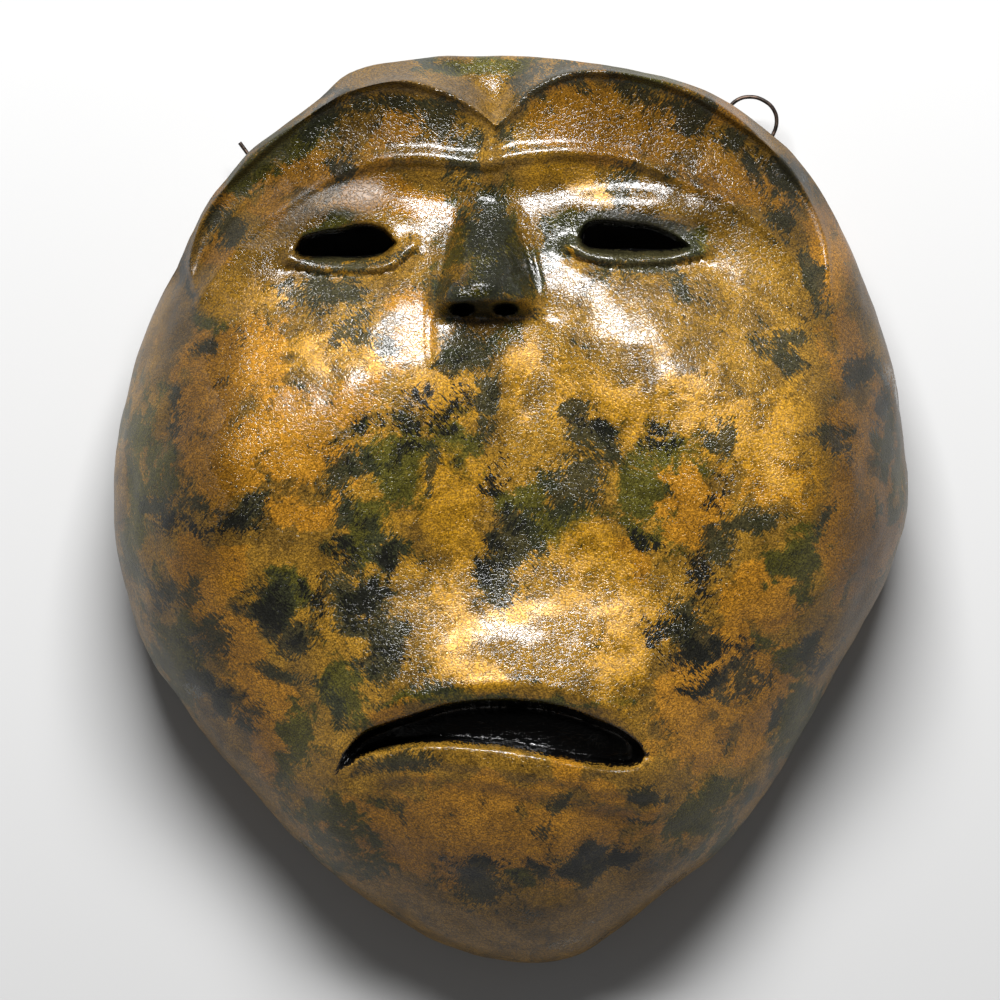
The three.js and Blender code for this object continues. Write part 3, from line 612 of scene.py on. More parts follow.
OLIVE_DABS = [
    (-38, 13, 11, 13, 0), (-45, -9, 10, 13, 0), (-72, -25, 6.4, 8, 0), (-110, 13, 3.8, 13, 0),
    (44, 10, 13, 17, 0), (81, -44, 14, 3.5, 0), (70, -42, 9, 5.1, 0), (-53, -57, 8, 14, 0),
    (-71, -73, 8, 13, 0), (3, 2, 8, 8, 0), (-26, -108, 10, 6.4, 0), (0, -116, 7.7, 4.5, 0),
    (-119, 4, 4.5, 35, 0), (-57, 86, 10, 2.9, 5), (57, 87, 6.4, 5.1, 0), (-68, 116, 12, 10, 20),
    (-84, 108, 8, 5.1, 20), (92, -16, 12, 14, 0), (-13, 144, 22, 2.9, 0), (41, 141, 16, 2.6, -6),
    (121, 13, 3.8, 29, 0), (-93, 64, 7, 5.8, 0), (16, 89, 7, 9, 0), (-106, -48, 10, 16, 0),
    (-10, 68, 13, 6.4, 0), (-18, 23, 7, 10, 0), (92, -67, 7.7, 19, 0), (-55, -102, 16, 10, -30),
    (60, -99, 16, 10, 30), (16, -6, 10, 6.4, 0), (-60, 91, 8, 1.6, 10), (-8, 80, 14, 22, 0),
    # The last dab, along the upper lip's edge, is olive paint and painted shade under the lip
    (-2, -61, 34, 2.6, 0),
]
ORANGE_DABS = [
    (-103, 32, 5.8, 14, 0), (-92, 22, 15, 13, 0), (-70, 23, 20, 17, 0), (-55, 33, 13, 9, 0),
    (-68, 1, 10, 4.5, 0), (-60, 2, 4.5, 5.1, 0), (-84, 51, 19, 11, 0), (-89, 38, 18, 8, 0),
    (-96, -20, 10, 13, 0), (-88, -41, 5.8, 7.7, 0), (-80, -57, 8, 10, 0), (-79, -74, 5.1, 11, 0),
    (-36, 102, 20, 7.7, 0), (-20, 100, 9, 7, 0), (-68, 104, 14, 5.1, 20), (-94, 101, 5.1, 3.8, 0),
    (-91, 82, 4.5, 3.2, 0), (-38, 121, 5.8, 3.8, 0), (25, 124, 14, 11, 0), (44, 121, 17, 9, 0),
    (68, 126, 9, 4.2, -20), (74, 103, 14, 6.4, -20), (100, 92, 8, 5.8, 0), (104, 81, 10, 9, 0),
    (109, 13, 7.7, 17, 0), (110, -6, 10, 19, 0), (116, 32, 5.8, 10, 0), (106, 55, 8, 12, 0),
    (86, 12, 10, 7.7, 0), (60, 2, 10, 10, 0), (76, -25, 10, 8, 25), (81, -32, 11, 6.4, 0),
    (72, -37, 6.4, 5.8, 0), (82, -54, 6.4, 5.1, 0), (77, -66, 5.8, 10, 0), (74, -75, 5.8, 3.8, 0),
    (38, -16, 6.4, 5.8, 0), (-35, -64, 8, 3.5, 0), (-74, -124, 13, 5.1, 0), (-10, -92, 22, 6.4, 0),
    (60, -73, 10, 10, 0), (28, -86, 13, 3.8, -15),
    (-8, -101, 42, 13, 0), (-22, -109, 24, 9, 0), (26, -101, 18, 9, 0), (57, -62, 12, 14, 0),
    (68, -48, 14, 18, 30), (-33, 58, 7, 12, 0),
]
GOLD_DABS = [
    (38, 38, 20, 11, 0), (66, 26, 17, 8, -20), (87, 21, 10, 13, 0), (4, 44, 7, 10, 0),
    (-20, 0, 10, 14, 0), (-19, -40, 9, 15, 0), (2, -31, 12, 4, 0),
    (36, -38, 9, 20, 0), (23, -18, 14, 9, 0), (-23, 40, 10, 9, 0),
    (18, 108, 15, 4.5, 0), (-13, -50, 12, 6, 0),
    (-58, 51, 12, 7.7, 0), (-84, 71, 13, 6.4, 0),
]
SPECKLED_DABS = [
    (-53, -14, 7, 14, 0), (-46, -30, 11, 13, 0), (-66, -30, 7.7, 11, 0), (-78, -32, 10, 8, 0),
    (-88, -1, 11, 4.5, 0), (62, -20, 10, 9, 0), (43, -9, 7.7, 5.1, 0), (-4, -14, 11, 14, 0),
    (-5, 10, 11, 13, 0), (26, 24, 7, 5.1, 0), (44, 23, 11, 6.4, 0), (68, 8, 7.7, 7.7, 0),
    (-43, -46, 10, 8, 0), (-38, -18, 9, 7, 0), (49, -36, 8, 13, 0), (20, -112, 20, 6.4, 0),
    (-9, -116, 14, 5.1, 0), (-91, -59, 11, 6.4, 0), (-103, -3, 13, 6.4, 0), (60, -48, 16, 10, 0),
    (-42, 23, 16, 10, 20), (-20, 36, 13, 13, 0), (35, -112, 10, 5.1, 0),
]

DABS = {
    "slate": SLATE_DABS, "olive": OLIVE_DABS, "orange": ORANGE_DABS, "gold": GOLD_DABS,
    "speckled": SPECKLED_DABS,
}
# Where the varnish is dull, and where the colour is darkened
DULL_DABS = [(-60, 98, 20, 8, 8), (42, 93, 22, 3.5, -6), (-108, 12, 12, 40, 0)]
# The darkening is darker paint over the nose and brow bands, and painted shade over the brow bands,
# lids and both sides, where they turn away from the lamp
DARK_PAINT_AND_SHADE_DABS = [
    (-8, 80, 17, 25, 0), (-58, 97, 18, 7, 8), (42, 93, 24, 4, -6),
    (-60, 112, 50, 26, 28), (56, 116, 56, 22, -22), (-100, 40, 14, 60, 0), (112, 30, 14, 60, 0),
]

# Random waves, in layers of (weight, size in millimetres, seed): how the skin is lumpy, how the
# edges of the dabs wander, and how the finish changes over the face
LUMP_WAVES = [(0.6, 20, 1), (0.35, 9, 2), (0.2, 5, 3)]
HOLLOW_LUMPS = 1.2
SIDEWAYS_WAVES = [(2.6, 15, 11), (1.2, 5.5, 12)]
UP_AND_DOWN_WAVES = [(2.6, 15, 13), (1.2, 5.5, 14)]
WANDER_WAVES = [(0.1, 9, 4), (0.06, 4.5, 5)]
OCHRE_WAVES = [(0.25, 24, 6), (0.15, 8, 7)]
TURN_WAVES = [(0.3, 22, 8)]
DULL_WAVES = [(0.22, 14, 9), (0.12, 6, 10)]
# Waves in the darker paint and painted shade
DARK_PAINT_AND_SHADE_WAVES = [(0.1, 12, 16)]

# How the finish changes with the place on the face: levels as shares, places in millimetres
OCHRE_LEVEL = 0.5
OCHRE_CHIN_LEVEL = 0.35
DULL_LEVEL = -0.1
TURN_LEVEL = 0.5
OCHRE_ON_CHIN = (-60, -100)
SPECKLE_THINNING = 0.38
SIDES_MIDDLE = (4, 20)
SIDES_REACH = {"across": 115, "up": 170, "down": 118}
DULL_SIDES = (0.74, 1.02)
SLATE_ROUND_EYE = (-6, -2)
EYE_PAINT_INSET = 0.1
# The black in the nostrils' pits is painted shade
NOSTRIL_PAINT_REACH = (4, 1.9)
NOSTRIL_PAINT_DEPTH = 2.5
MOUTH_PAINT_ENDS = (-55.5, 43.4)
MOUTH_PAINT_OVER_UPPER_LIP = 0.4
MOUTH_PAINT_OFF_LOWER_LIP = 0.3
BLACK_LIMIT = 8
THIN_PAINT_BELOW = 14
PAINT_THINNING = 0.3


def dabbed(x, y, dabs):
    """How heavily the dabs cover each point: 1 in the middle of a dab, a half at its edge."""
    cover = np.zeros_like(x)
    for dab_x, dab_y, half_width, half_height, turn in dabs:
        shares = turned_shares(x, y, (dab_x, dab_y), (half_width, half_height), turn)
        cover = np.maximum(cover, 1.1 - 0.6 * np.hypot(*shares))
    return np.clip(cover, 0, 1)


def waves(points, layers, count=40):
    """Sum of smooth random fields, each of about -weight to weight."""
    total = 0
    for weight, size, seed in layers:
        random = np.random.default_rng(seed)
        headings = random.normal(size=(count, 3))
        headings /= np.linalg.norm(headings, axis=1)[:, None]
        turns = headings * (math.pi / size * random.uniform(0.6, 1.4, count))[:, None]
        starts = random.uniform(0, 2 * math.pi, count)
        field = np.cos(points @ turns.T + starts).sum(axis=1) / math.sqrt(count)
        total = total + weight * field
    return total


# Helpers for modelling
def select_only(*objects):
    bpy.ops.object.select_all(action="DESELECT")
    for item in objects:
        item.select_set(True)
    bpy.context.view_layer.objects.active = objects[0] if objects else None


def start_piece(name):
    """Names the object that an operator has just added, and makes it the only one selected."""
    piece = bpy.context.view_layer.objects.active
    piece.name = name
    piece.data.name = name
    select_only(piece)
    return piece


def apply_modifiers(piece):
    select_only(piece)
    for modifier in list(piece.modifiers):
        bpy.ops.object.modifier_apply(modifier=modifier.name)


def get_values(items, name, size=1):
    """Reads one value, or size values, of each item of a mesh into an array."""
    values = np.empty(len(items) * size, np.float32)
    items.foreach_get(name, values)
    return values if size == 1 else values.reshape(-1, size)


def get_points(mesh):
    return get_values(mesh.vertices, "co", 3).astype(float)


def set_points(mesh, points):
    mesh.vertices.foreach_set("co", np.ascontiguousarray(points, dtype=np.float32).ravel())
    mesh.update()


def write_attribute(mesh, name, values):
    layer = mesh.attributes.new(name, "FLOAT", "POINT")
    layer.data.foreach_set("value", np.ascontiguousarray(values, dtype=np.float32))


def cut_away(piece, cutters):
    """Cuts the cutters' shapes out of a piece, and removes the cutters."""
    for cutter in cutters:
        modifier = piece.modifiers.new(f"cut {cutter.name}", "BOOLEAN")
        modifier.operation = "DIFFERENCE"
        modifier.object = cutter
        modifier.solver = "MANIFOLD"
    apply_modifiers(piece)
    for cutter in cutters:
        bpy.data.objects.remove(cutter)


def finish_piece(piece, *nodes, slot):
    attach(piece, "root")
    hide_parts(*nodes)


# Helpers for the settings
def length_setting(name, description, value, low, high):
    return FloatProperty(
        name=name, description=description, default=value, min=low, max=high, precision=5,
        subtype="DISTANCE", unit="LENGTH",
    )


def share_setting(name, description, value, low=0.0, high=1.0):
    return FloatProperty(
        name=name, description=description, default=value, min=low, max=high, subtype="FACTOR",
    )


def colour_setting(name, description, red, green, blue):
    return FloatVectorProperty(
        name=name, description=description, default=(red, green, blue, 1.0), min=0.0, max=1.0,
        size=4, subtype="COLOR",
    )


# Helpers for materials
class NodeTree:
    """A short way to add nodes, set their sockets and link them."""

    def __init__(self, tree):
        self.tree = tree
        self.column = 0

    def add(self, kind, settings=None, **inputs):
        node = self.tree.nodes.new(kind)
        node.location = (200 * self.column, 0)
        self.column += 1
        for key, value in (settings or {}).items():
            setattr(node, key, value)
        for key, value in inputs.items():
            self.feed(node, key.replace("_", " "), value)
        return node

    def feed(self, node, socket, value):
        target = node.inputs[int(socket[1:]) if socket[:1] == "#" else socket]
        if isinstance(value, bpy.types.NodeSocket):
            self.tree.links.new(value, target)
        else:
            target.default_value = value

    def math(self, operation, first, second=0.0, third=None):
        node = self.add("ShaderNodeMath", {"operation": operation})
        self.feed(node, "#0", first)
        self.feed(node, "#1", second)
        if third is not None:
            self.feed(node, "#2", third)
        return node.outputs[0]

    def stretch(self, position, shares):
        node = self.add("ShaderNodeVectorMath", {"operation": "MULTIPLY"})
        self.feed(node, "#0", position)
        self.feed(node, "#1", shares)
        return node.outputs[0]

    def mix(self, factor, first, second, blend="MIX"):
        node = self.add("ShaderNodeMix", {"data_type": "RGBA", "blend_type": blend})
        self.feed(node, "#0", factor)
        self.feed(node, "#6", first)
        self.feed(node, "#7", second)
        return node.outputs[2]

    def blend_values(self, factor, first, second):
        """Blends two plain values, where mix blends two colours."""
        node = self.add("ShaderNodeMix", {"data_type": "FLOAT"})
        self.feed(node, "#0", factor)
        self.feed(node, "#2", first)
        self.feed(node, "#3", second)
        return node.outputs[0]

    def ramp(self, value, low, high):
        """0 below low, 1 above high, and a smooth rise between them."""
        node = self.add(
            "ShaderNodeMapRange", {"interpolation_type": "SMOOTHSTEP"},
            Value=value, From_Min=low, From_Max=high,
        )
        return node.outputs[0]

    def noise(self, position, size, detail=2.0, roughness=0.5, distortion=0.0):
        """Noise whose features are about size millimetres across."""
        node = self.add(
            "ShaderNodeTexNoise", Vector=position, Scale=self.math("DIVIDE", 1 / MM, size),
            Detail=detail, Roughness=roughness, Distortion=distortion,
        )
        return node.outputs["Fac"]

    def bump(self, surface, height, depth):
        node = self.add("ShaderNodeBump", Strength=1.0, Distance=depth, Height=height)
        self.feed(surface, "Normal", node.outputs[0])

    def attribute(self, name):
        return self.add("ShaderNodeAttribute", {"attribute_name": name}).outputs["Fac"]


def new_group(name, inputs, outputs):
    """Shader node group whose sockets are given as {name: (kind, default)} and {name: kind}."""
    tree = bpy.data.node_groups.new(name, "ShaderNodeTree")
    for socket, (kind, default) in inputs.items():
        made = tree.interface.new_socket(socket, in_out="INPUT", socket_type=kind)
        if default is not None:
            made.default_value = default
    for socket, kind in outputs.items():
        tree.interface.new_socket(socket, in_out="OUTPUT", socket_type=kind)
    nodes = NodeTree(tree)
    entry = nodes.add("NodeGroupInput")
    leave = nodes.add("NodeGroupOutput")
    return nodes, entry, leave


# The brush's two directions in radians, sizes in millimetres, and how much finer or longer the
# strokes and wrinkles are along each axis
BRUSH_TURNS = (0.6, -0.75)
STROKE_STRETCH = (1.0, 0.24, 0.4)
SPONGE_SIZE = 9
GRAIN_SIZE = 0.5
WRINKLE_STRETCH = (0.7, 1.0, 0.8)
# How wide a wrinkle is, as a share of the noise's range
WRINKLE_WIDTH = 0.09


def get_brush_grain():
    """Streaks of a stiff brush, sponged blotches, and the fine crumpled skin of dried paint."""
    name = "brush grain"
    if name in bpy.data.node_groups:
        return bpy.data.node_groups[name]
    nodes, entry, leave = new_group(
        name,
        {
            "Position": ("NodeSocketVector", None),
            "Turn": ("NodeSocketFloat", 0.5),
            "Stroke Width": ("NodeSocketFloat", 0.9),
            "Wrinkle Size": ("NodeSocketFloat", 1.0),
        },
        {socket: "NodeSocketFloat" for socket in ("Strokes", "Sponge", "Grain", "Wrinkles")},
    )
    position = entry.outputs["Position"]
    layers = []
    for turn in BRUSH_TURNS:
        turned = nodes.add(
            "ShaderNodeVectorRotate", {"rotation_type": "Z_AXIS"}, Vector=position, Angle=turn,
        )
        along = nodes.stretch(turned.outputs[0], STROKE_STRETCH)
        layers.append(nodes.noise(along, entry.outputs["Stroke Width"], roughness=0.6))
    strokes = nodes.blend_values(nodes.ramp(entry.outputs["Turn"], 0.42, 0.58), *layers)
    sponge = nodes.noise(position, SPONGE_SIZE, detail=8, roughness=0.68, distortion=0.5)
    grain = nodes.noise(position, GRAIN_SIZE, roughness=0.6)
    wrinkles = nodes.noise(
        nodes.stretch(position, WRINKLE_STRETCH), entry.outputs["Wrinkle Size"],
        roughness=0.55, distortion=0.3,
    )
    wrinkles = nodes.math("ABSOLUTE", nodes.math("SUBTRACT", wrinkles, 0.5))
    nodes.feed(leave, "Strokes", strokes)
    nodes.feed(leave, "Sponge", sponge)
    nodes.feed(leave, "Grain", grain)
    nodes.feed(leave, "Wrinkles", nodes.ramp(wrinkles, 0.0, WRINKLE_WIDTH))
    return nodes.tree


def get_ragged_paint():
    """Turns how heavily paint was dabbed on into cover with ragged, hairy edges."""
    name = "ragged paint"
    if name in bpy.data.node_groups:
        return bpy.data.node_groups[name]
    nodes, entry, leave = new_group(
        name,
        {
            "Amount": ("NodeSocketFloat", 0.5),
            "Strokes": ("NodeSocketFloat", 0.5),
            "Sponge": ("NodeSocketFloat", 0.5),
            "Hairiness": ("NodeSocketFloat", 0.6),
            "Raggedness": ("NodeSocketFloat", 0.9),
            "Softness": ("NodeSocketFloat", 0.06),
        },
        {"Cover": "NodeSocketFloat"},
    )
    value = entry.outputs["Amount"]
    for texture, weight in (("Sponge", "Raggedness"), ("Strokes", "Hairiness")):
        around = nodes.math("SUBTRACT", entry.outputs[texture], 0.5)
        value = nodes.math("MULTIPLY_ADD", around, entry.outputs[weight], value)
    low = nodes.math("SUBTRACT", 0.5, entry.outputs["Softness"])
    high = nodes.math("ADD", 0.5, entry.outputs["Softness"])
    nodes.feed(leave, "Cover", nodes.ramp(value, low, high))
    return nodes.tree


def new_material(name, roughness=0.5, metallic=0.0, specular=0.5):
    material = bpy.data.materials.new(name)
    material.use_nodes = True
    material.node_tree.nodes.clear()
    nodes = NodeTree(material.node_tree)
    surface = nodes.add("ShaderNodeBsdfPrincipled", Roughness=roughness, Metallic=metallic)
    nodes.feed(surface, "Specular IOR Level", specular)
    output = nodes.add("ShaderNodeOutputMaterial", Surface=surface.outputs[0])
    output.is_active_output = True
    return material, nodes, surface


def use_group(nodes, group, **inputs):
    return nodes.add("ShaderNodeGroup", {"node_tree": group}, **inputs).outputs


# How each colour's edges run: how far the brush's streaks and the sponge's blotches move them,
# and how soft they are
PAINT_EDGES = {
    "ochre": (0.3, 2.2, 0.4), "olive": (-1.0, -2.4, 0.16), "orange": (0.4, 2.2, 0.1),
    "gold": (0.3, 1.8, 0.35), "slate": (-2.0, -2.4, 0.12), "speckled": (2.4, -2.2, 0.06),
    "dark_paint_and_shade": (0.4, 1.2, 0.3), "dull": (0.8, 1.0, 0.08),
}
SLATE_OPACITY = 0.9
BLACK_FRAY = 4.0
BLACK_SOFTNESS = 0.15
STROKE_HEIGHT = 0.6


def make_painted_clay(settings):
    """Sponged and brushed paint in brown, ochre, orange, olive and slate, under varnish."""
    material, nodes, surface = new_material("painted clay", specular=0.4)
    position = nodes.add("ShaderNodeTexCoord").outputs["Object"]
    grain = use_group(
        nodes, get_brush_grain(), Position=position, Turn=nodes.attribute("turn"),
        Stroke_Width=settings.stroke_width, Wrinkle_Size=settings.wrinkle_size,
    )
    strokes, sponge, wrinkles = grain["Strokes"], grain["Sponge"], grain["Wrinkles"]

    def cover(name):
        hairiness, raggedness, softness = PAINT_EDGES[name]
        return use_group(
            nodes, get_ragged_paint(), Amount=nodes.attribute(name), Strokes=strokes,
            Sponge=sponge, Hairiness=hairiness, Raggedness=raggedness, Softness=softness,
        )["Cover"]

    gold, slate = cover("gold"), cover("slate")
    colour = nodes.mix(cover("ochre"), settings.brown, settings.ochre)
    for mask, paint in (
        (cover("olive"), settings.olive),
        (cover("orange"), settings.orange),
        (gold, settings.gold),
        (nodes.math("MULTIPLY", slate, SLATE_OPACITY), settings.slate),
        (cover("speckled"), settings.speckle),
    ):
        colour = nodes.mix(mask, colour, paint)
    # Each mask shades the colour from a dark share where it is 0 to a light one where it is 1
    for mask, dark, light in (
        (nodes.ramp(sponge, 0.4, 0.6), 0.8, 1.15),
        (nodes.ramp(strokes, 0.36, 0.62), 0.88, 1.1),
        (nodes.ramp(grain["Grain"], 0.36, 0.64), 0.55, 1.42),
        # Painted shade in the creases of the wrinkles
        (wrinkles, 0.6, 1.05),
        # Darker paint, and painted shade over the brows, lids and sides
        (cover("dark_paint_and_shade"), 1.0, 0.38),
    ):
        greys = [(value, value, value, 1) for value in (dark, light)]
        colour = nodes.mix(1.0, colour, nodes.mix(mask, *greys), "MULTIPLY")
    around = nodes.math("SUBTRACT", nodes.math("ADD", strokes, sponge), 1.0)
    frayed = nodes.math("MULTIPLY_ADD", around, BLACK_FRAY, nodes.attribute("black"))
    black = nodes.ramp(frayed, -BLACK_SOFTNESS, BLACK_SOFTNESS)
    nodes.feed(surface, "Base Color", nodes.mix(black, colour, settings.black))
    pigment = nodes.math("MULTIPLY", gold, nodes.math("SUBTRACT", 1.0, slate))
    nodes.feed(surface, "Metallic", nodes.math("MULTIPLY", pigment, settings.gold_metallic))
    pigment = nodes.math("MULTIPLY", pigment, nodes.ramp(sponge, 0.3, 0.6))
    dull = nodes.math("MAXIMUM", pigment, cover("dull"))
    dull = nodes.math("MULTIPLY", dull, nodes.math("SUBTRACT", 1.0, black))
    roughness = nodes.math("MULTIPLY_ADD", dull, settings.dullness, settings.gloss_roughness)
    nodes.feed(surface, "Roughness", roughness)
    height = nodes.math("MULTIPLY_ADD", strokes, STROKE_HEIGHT, wrinkles)
    nodes.bump(surface, height, settings.grain_depth)
    return material


WASH_STROKE_WIDTH = 1.6
BARE_WRINKLE_SIZE = 3.0


def make_bare_clay(settings):
    """Fired clay inside the hollow, wiped with a thin dark wash."""
    material, nodes, surface = new_material("bare clay", roughness=0.7)
    position = nodes.add("ShaderNodeTexCoord").outputs["Object"]
    grain = use_group(
        nodes, get_brush_grain(), Position=position, Stroke_Width=WASH_STROKE_WIDTH,
        Wrinkle_Size=BARE_WRINKLE_SIZE,
    )
    wash = nodes.math("MULTIPLY_ADD", grain["Strokes"], 0.5, grain["Sponge"])
    wash = nodes.ramp(wash, 0.6, 0.95)
    nodes.feed(surface, "Base Color", nodes.mix(wash, settings.clay, settings.wash))
    nodes.bump(surface, grain["Wrinkles"], settings.bare_grain_depth)
    return material


# Sizes in millimetres, the wire's roughness, and how much is added to it where it is rubbed
SCALE_SIZE = 0.5
RUBBED_PATCH_SIZE = 2.5
WIRE_ROUGHNESS = 0.34
RUBBED_ROUGHNESS = 0.2


def make_annealed_wire(settings):
    """Iron wire, blackened by annealing, with lighter rubbed places."""
    material, nodes, surface = new_material("annealed wire", metallic=0.85)
    position = nodes.add("ShaderNodeTexCoord").outputs["Object"]
    patches = nodes.noise(position, RUBBED_PATCH_SIZE, detail=4, roughness=0.7)
    rubbed = nodes.ramp(patches, 0.42, 0.7)
    nodes.feed(surface, "Base Color", nodes.mix(rubbed, settings.colour, settings.rubbed))
    roughness = nodes.math("MULTIPLY_ADD", rubbed, RUBBED_ROUGHNESS, WIRE_ROUGHNESS)
    nodes.feed(surface, "Roughness", roughness)
    nodes.bump(surface, nodes.noise(position, SCALE_SIZE, detail=3), settings.scale_depth)
    return material


# The clay shell
SHELL_SMOOTHING = math.radians(60)


def rows_and_directions(points):
    """Row along the section and direction round the face, from points of the unshaped ball."""
    x, y, z = points.T
    row = np.arctan2(np.hypot(x, y), z) / np.pi * ROW_ENDS[-1]
    return row, np.degrees(np.arctan2(y, x))


# Where the mesh is made finer: this near a soft edge, then this near a sharp one
SOFT_EDGE_REACH = 3.6
SHARP_EDGE_REACH = 1.6
# Ovals round the nose and round a nostril, and how much distance one reach of each counts as
NOSE_OVAL = ((-8, 76), (22, 24))
NOSE_OVAL_DISTANCE = 4.2
NOSTRIL_OVAL_REACH = (2.5, 1.6)
NOSTRIL_OVAL_DISTANCE = 1.2


def near_features(x, y):
    """Distance to the nearest edge that needs a fine mesh, and to the nearest very sharp one."""
    soft_edges = [CHIN_FOLD, BROW_JOIN]
    for shape in BROWS:
        soft_edges += [shape["upper"], shape["lower"]]
    sharp_edges = [UPPER_LIP, LOWER_LIP]
    for eye in EYES:
        soft_edges.append(eye["lid"])
        sharp_edges += [eye["upper"], eye["lower"]]
    soft = np.min([distance_to(edge, x, y) for edge in soft_edges], axis=0)
    soft = np.minimum(soft, NOSE_OVAL_DISTANCE * oval(x, y, *NOSE_OVAL))
    sharp = np.min([distance_to(edge, x, y) for edge in sharp_edges], axis=0)
    for nostril in NOSTRILS:
        on_nostril = oval(x, y, nostril, NOSTRIL_OVAL_REACH)
        sharp = np.minimum(sharp, NOSTRIL_OVAL_DISTANCE * on_nostril)
    return np.minimum(soft, sharp), sharp


def refine_features(ball):
    """Halves the faces of the ball that will lie near the brows, eyes, nose and mouth."""
    for kind, reach in enumerate((SOFT_EDGE_REACH, SHARP_EDGE_REACH)):
        mesh = ball.data
        row, direction = rows_and_directions(get_points(mesh))
        points = shell_point(row, direction) - (*CENTRE_SHIFT, 0)
        near = near_features(points[:, 0], points[:, 1])[kind]
        wanted = (near < reach) & (row < ROW_ENDS[FACE])
        select_only(ball)
        bpy.ops.object.mode_set(mode="EDIT")
        bpy.ops.mesh.select_mode(type="FACE")
        bpy.ops.mesh.select_all(action="DESELECT")
        bpy.ops.object.mode_set(mode="OBJECT")
        for face in mesh.polygons:
            face.select = all(wanted[index] for index in face.vertices)
        bpy.ops.object.mode_set(mode="EDIT")
        bpy.ops.mesh.subdivide(number_cuts=1)
        bpy.ops.object.mode_set(mode="OBJECT")


# The eye slits' cutters: how far inside the slit's ends and edges they stay, and their upright
# reach in metres
SLIT_END_INSET = 1.4
SLIT_EDGE_INSET = 0.7
SLIT_POINTS = 24
SLIT_FOOT = 0.03
SLIT_DEPTH = 0.09


def add_eye_cutter(eye, index):
    """Upright prism a little inside the edge of an eye slit."""
    start, end = eye["upper"][0, 0] + SLIT_END_INSET, eye["upper"][-1, 0] - SLIT_END_INSET
    across = np.linspace(start, end, SLIT_POINTS)
    top = np.stack([across, level_of(eye["upper"], across) - SLIT_EDGE_INSET], axis=-1)
    bottom = np.stack([across, level_of(eye["lower"], across) + SLIT_EDGE_INSET], axis=-1)
    outline = np.vstack([bottom, top[::-1]])
    bpy.ops.object.select_all(action="DESELECT")
    bpy.ops.mesh.primitive_circle_add(vertices=len(outline), radius=0.01, fill_type="NGON")
    cutter = start_piece(f"eye_cutter_{index}")
    places = np.column_stack([(outline + CENTRE_SHIFT) * MM, np.full(len(outline), SLIT_FOOT)])
    set_points(cutter.data, places)
    bpy.ops.object.mode_set(mode="EDIT")
    bpy.ops.mesh.select_all(action="SELECT")
    bpy.ops.mesh.extrude_region_move(TRANSFORM_OT_translate={"value": (0, 0, SLIT_DEPTH)})
    bpy.ops.mesh.select_all(action="SELECT")
    bpy.ops.mesh.normals_make_consistent(inside=False)
    bpy.ops.object.mode_set(mode="OBJECT")
    return cutter


def beside_hole(direction, out, side, z):
    """A point beside a hole: out from the middle, round to one side, and up, in metres."""
    angle = math.radians(direction)
    return Vector((
        out * math.cos(angle) - side * math.sin(angle) + CENTRE_SHIFT[0],
        out * math.sin(angle) + side * math.cos(angle) + CENTRE_SHIFT[1],
        z,
    )) * MM


# Directions of the wire's holes, and each hole as (direction, side, start, end) in millimetres
RIGHT_HOLES = 58.3
LEFT_HOLE = 126.3
HOLE_SIDE = 8.4
WIRE_HOLES = [
    (RIGHT_HOLES, HOLE_SIDE, 126, 146), (RIGHT_HOLES, -HOLE_SIDE, 126, 146),
    (LEFT_HOLE, 0, 116, 138),
]
HOLE_SIDES = 24


def add_hole_cutter(index, direction, side, start, end, radius, height):
    ends = [beside_hole(direction, out, side, height) for out in (start, end)]
    along = ends[1] - ends[0]
    bpy.ops.object.select_all(action="DESELECT")
    bpy.ops.mesh.primitive_cylinder_add(
        vertices=HOLE_SIDES, radius=radius, depth=along.length,
        location=(ends[0] + ends[1]) / 2, rotation=along.to_track_quat("Z", "Y").to_euler(),
    )
    cutter = start_piece(f"hole_cutter_{index}")
    bpy.ops.object.transform_apply(location=True, rotation=True, scale=True)
    return cutter


# Below this height, in metres, the lumps fade out towards the flat rim
LUMP_FADE = 0.006


def lump_points(mesh, settings):
    """Moves the skin in and out by the unevenness that hands leave in clay."""
    points = get_points(mesh)
    normals = get_values(mesh.vertex_normals, "vector", 3)
    inside = get_values(mesh.attributes["inside"].data, "value")
    lift = settings.lump_depth * waves(points / MM, LUMP_WAVES)
    lift = lift * (1 + HOLLOW_LUMPS * inside) * smooth_step(0.0, LUMP_FADE, points[:, 2])
    set_points(mesh, np.clip(points + normals * lift[:, None], *np.array(cad_bounds)))


def black_paint(x, y, in_eyes):
    """How far inside the black of the eyes, nostrils and mouth each point lies."""
    black = np.maximum(*in_eyes) - EYE_PAINT_INSET
    # In the nostrils the black is painted shade in their pits
    for nostril in NOSTRILS:
        in_nostril = 1 - oval(x, y, nostril, NOSTRIL_PAINT_REACH)
        black = np.maximum(black, NOSTRIL_PAINT_DEPTH * in_nostril)
    under_lip = level_of(UPPER_LIP, x) + MOUTH_PAINT_OVER_UPPER_LIP - y
    over_lip = y - level_of(LOWER_LIP, x) - MOUTH_PAINT_OFF_LOWER_LIP
    left, right = MOUTH_PAINT_ENDS
    in_mouth = np.min([under_lip, over_lip, x - left, right - x], axis=0)
    return np.clip(np.maximum(black, in_mouth), -BLACK_LIMIT, BLACK_LIMIT)


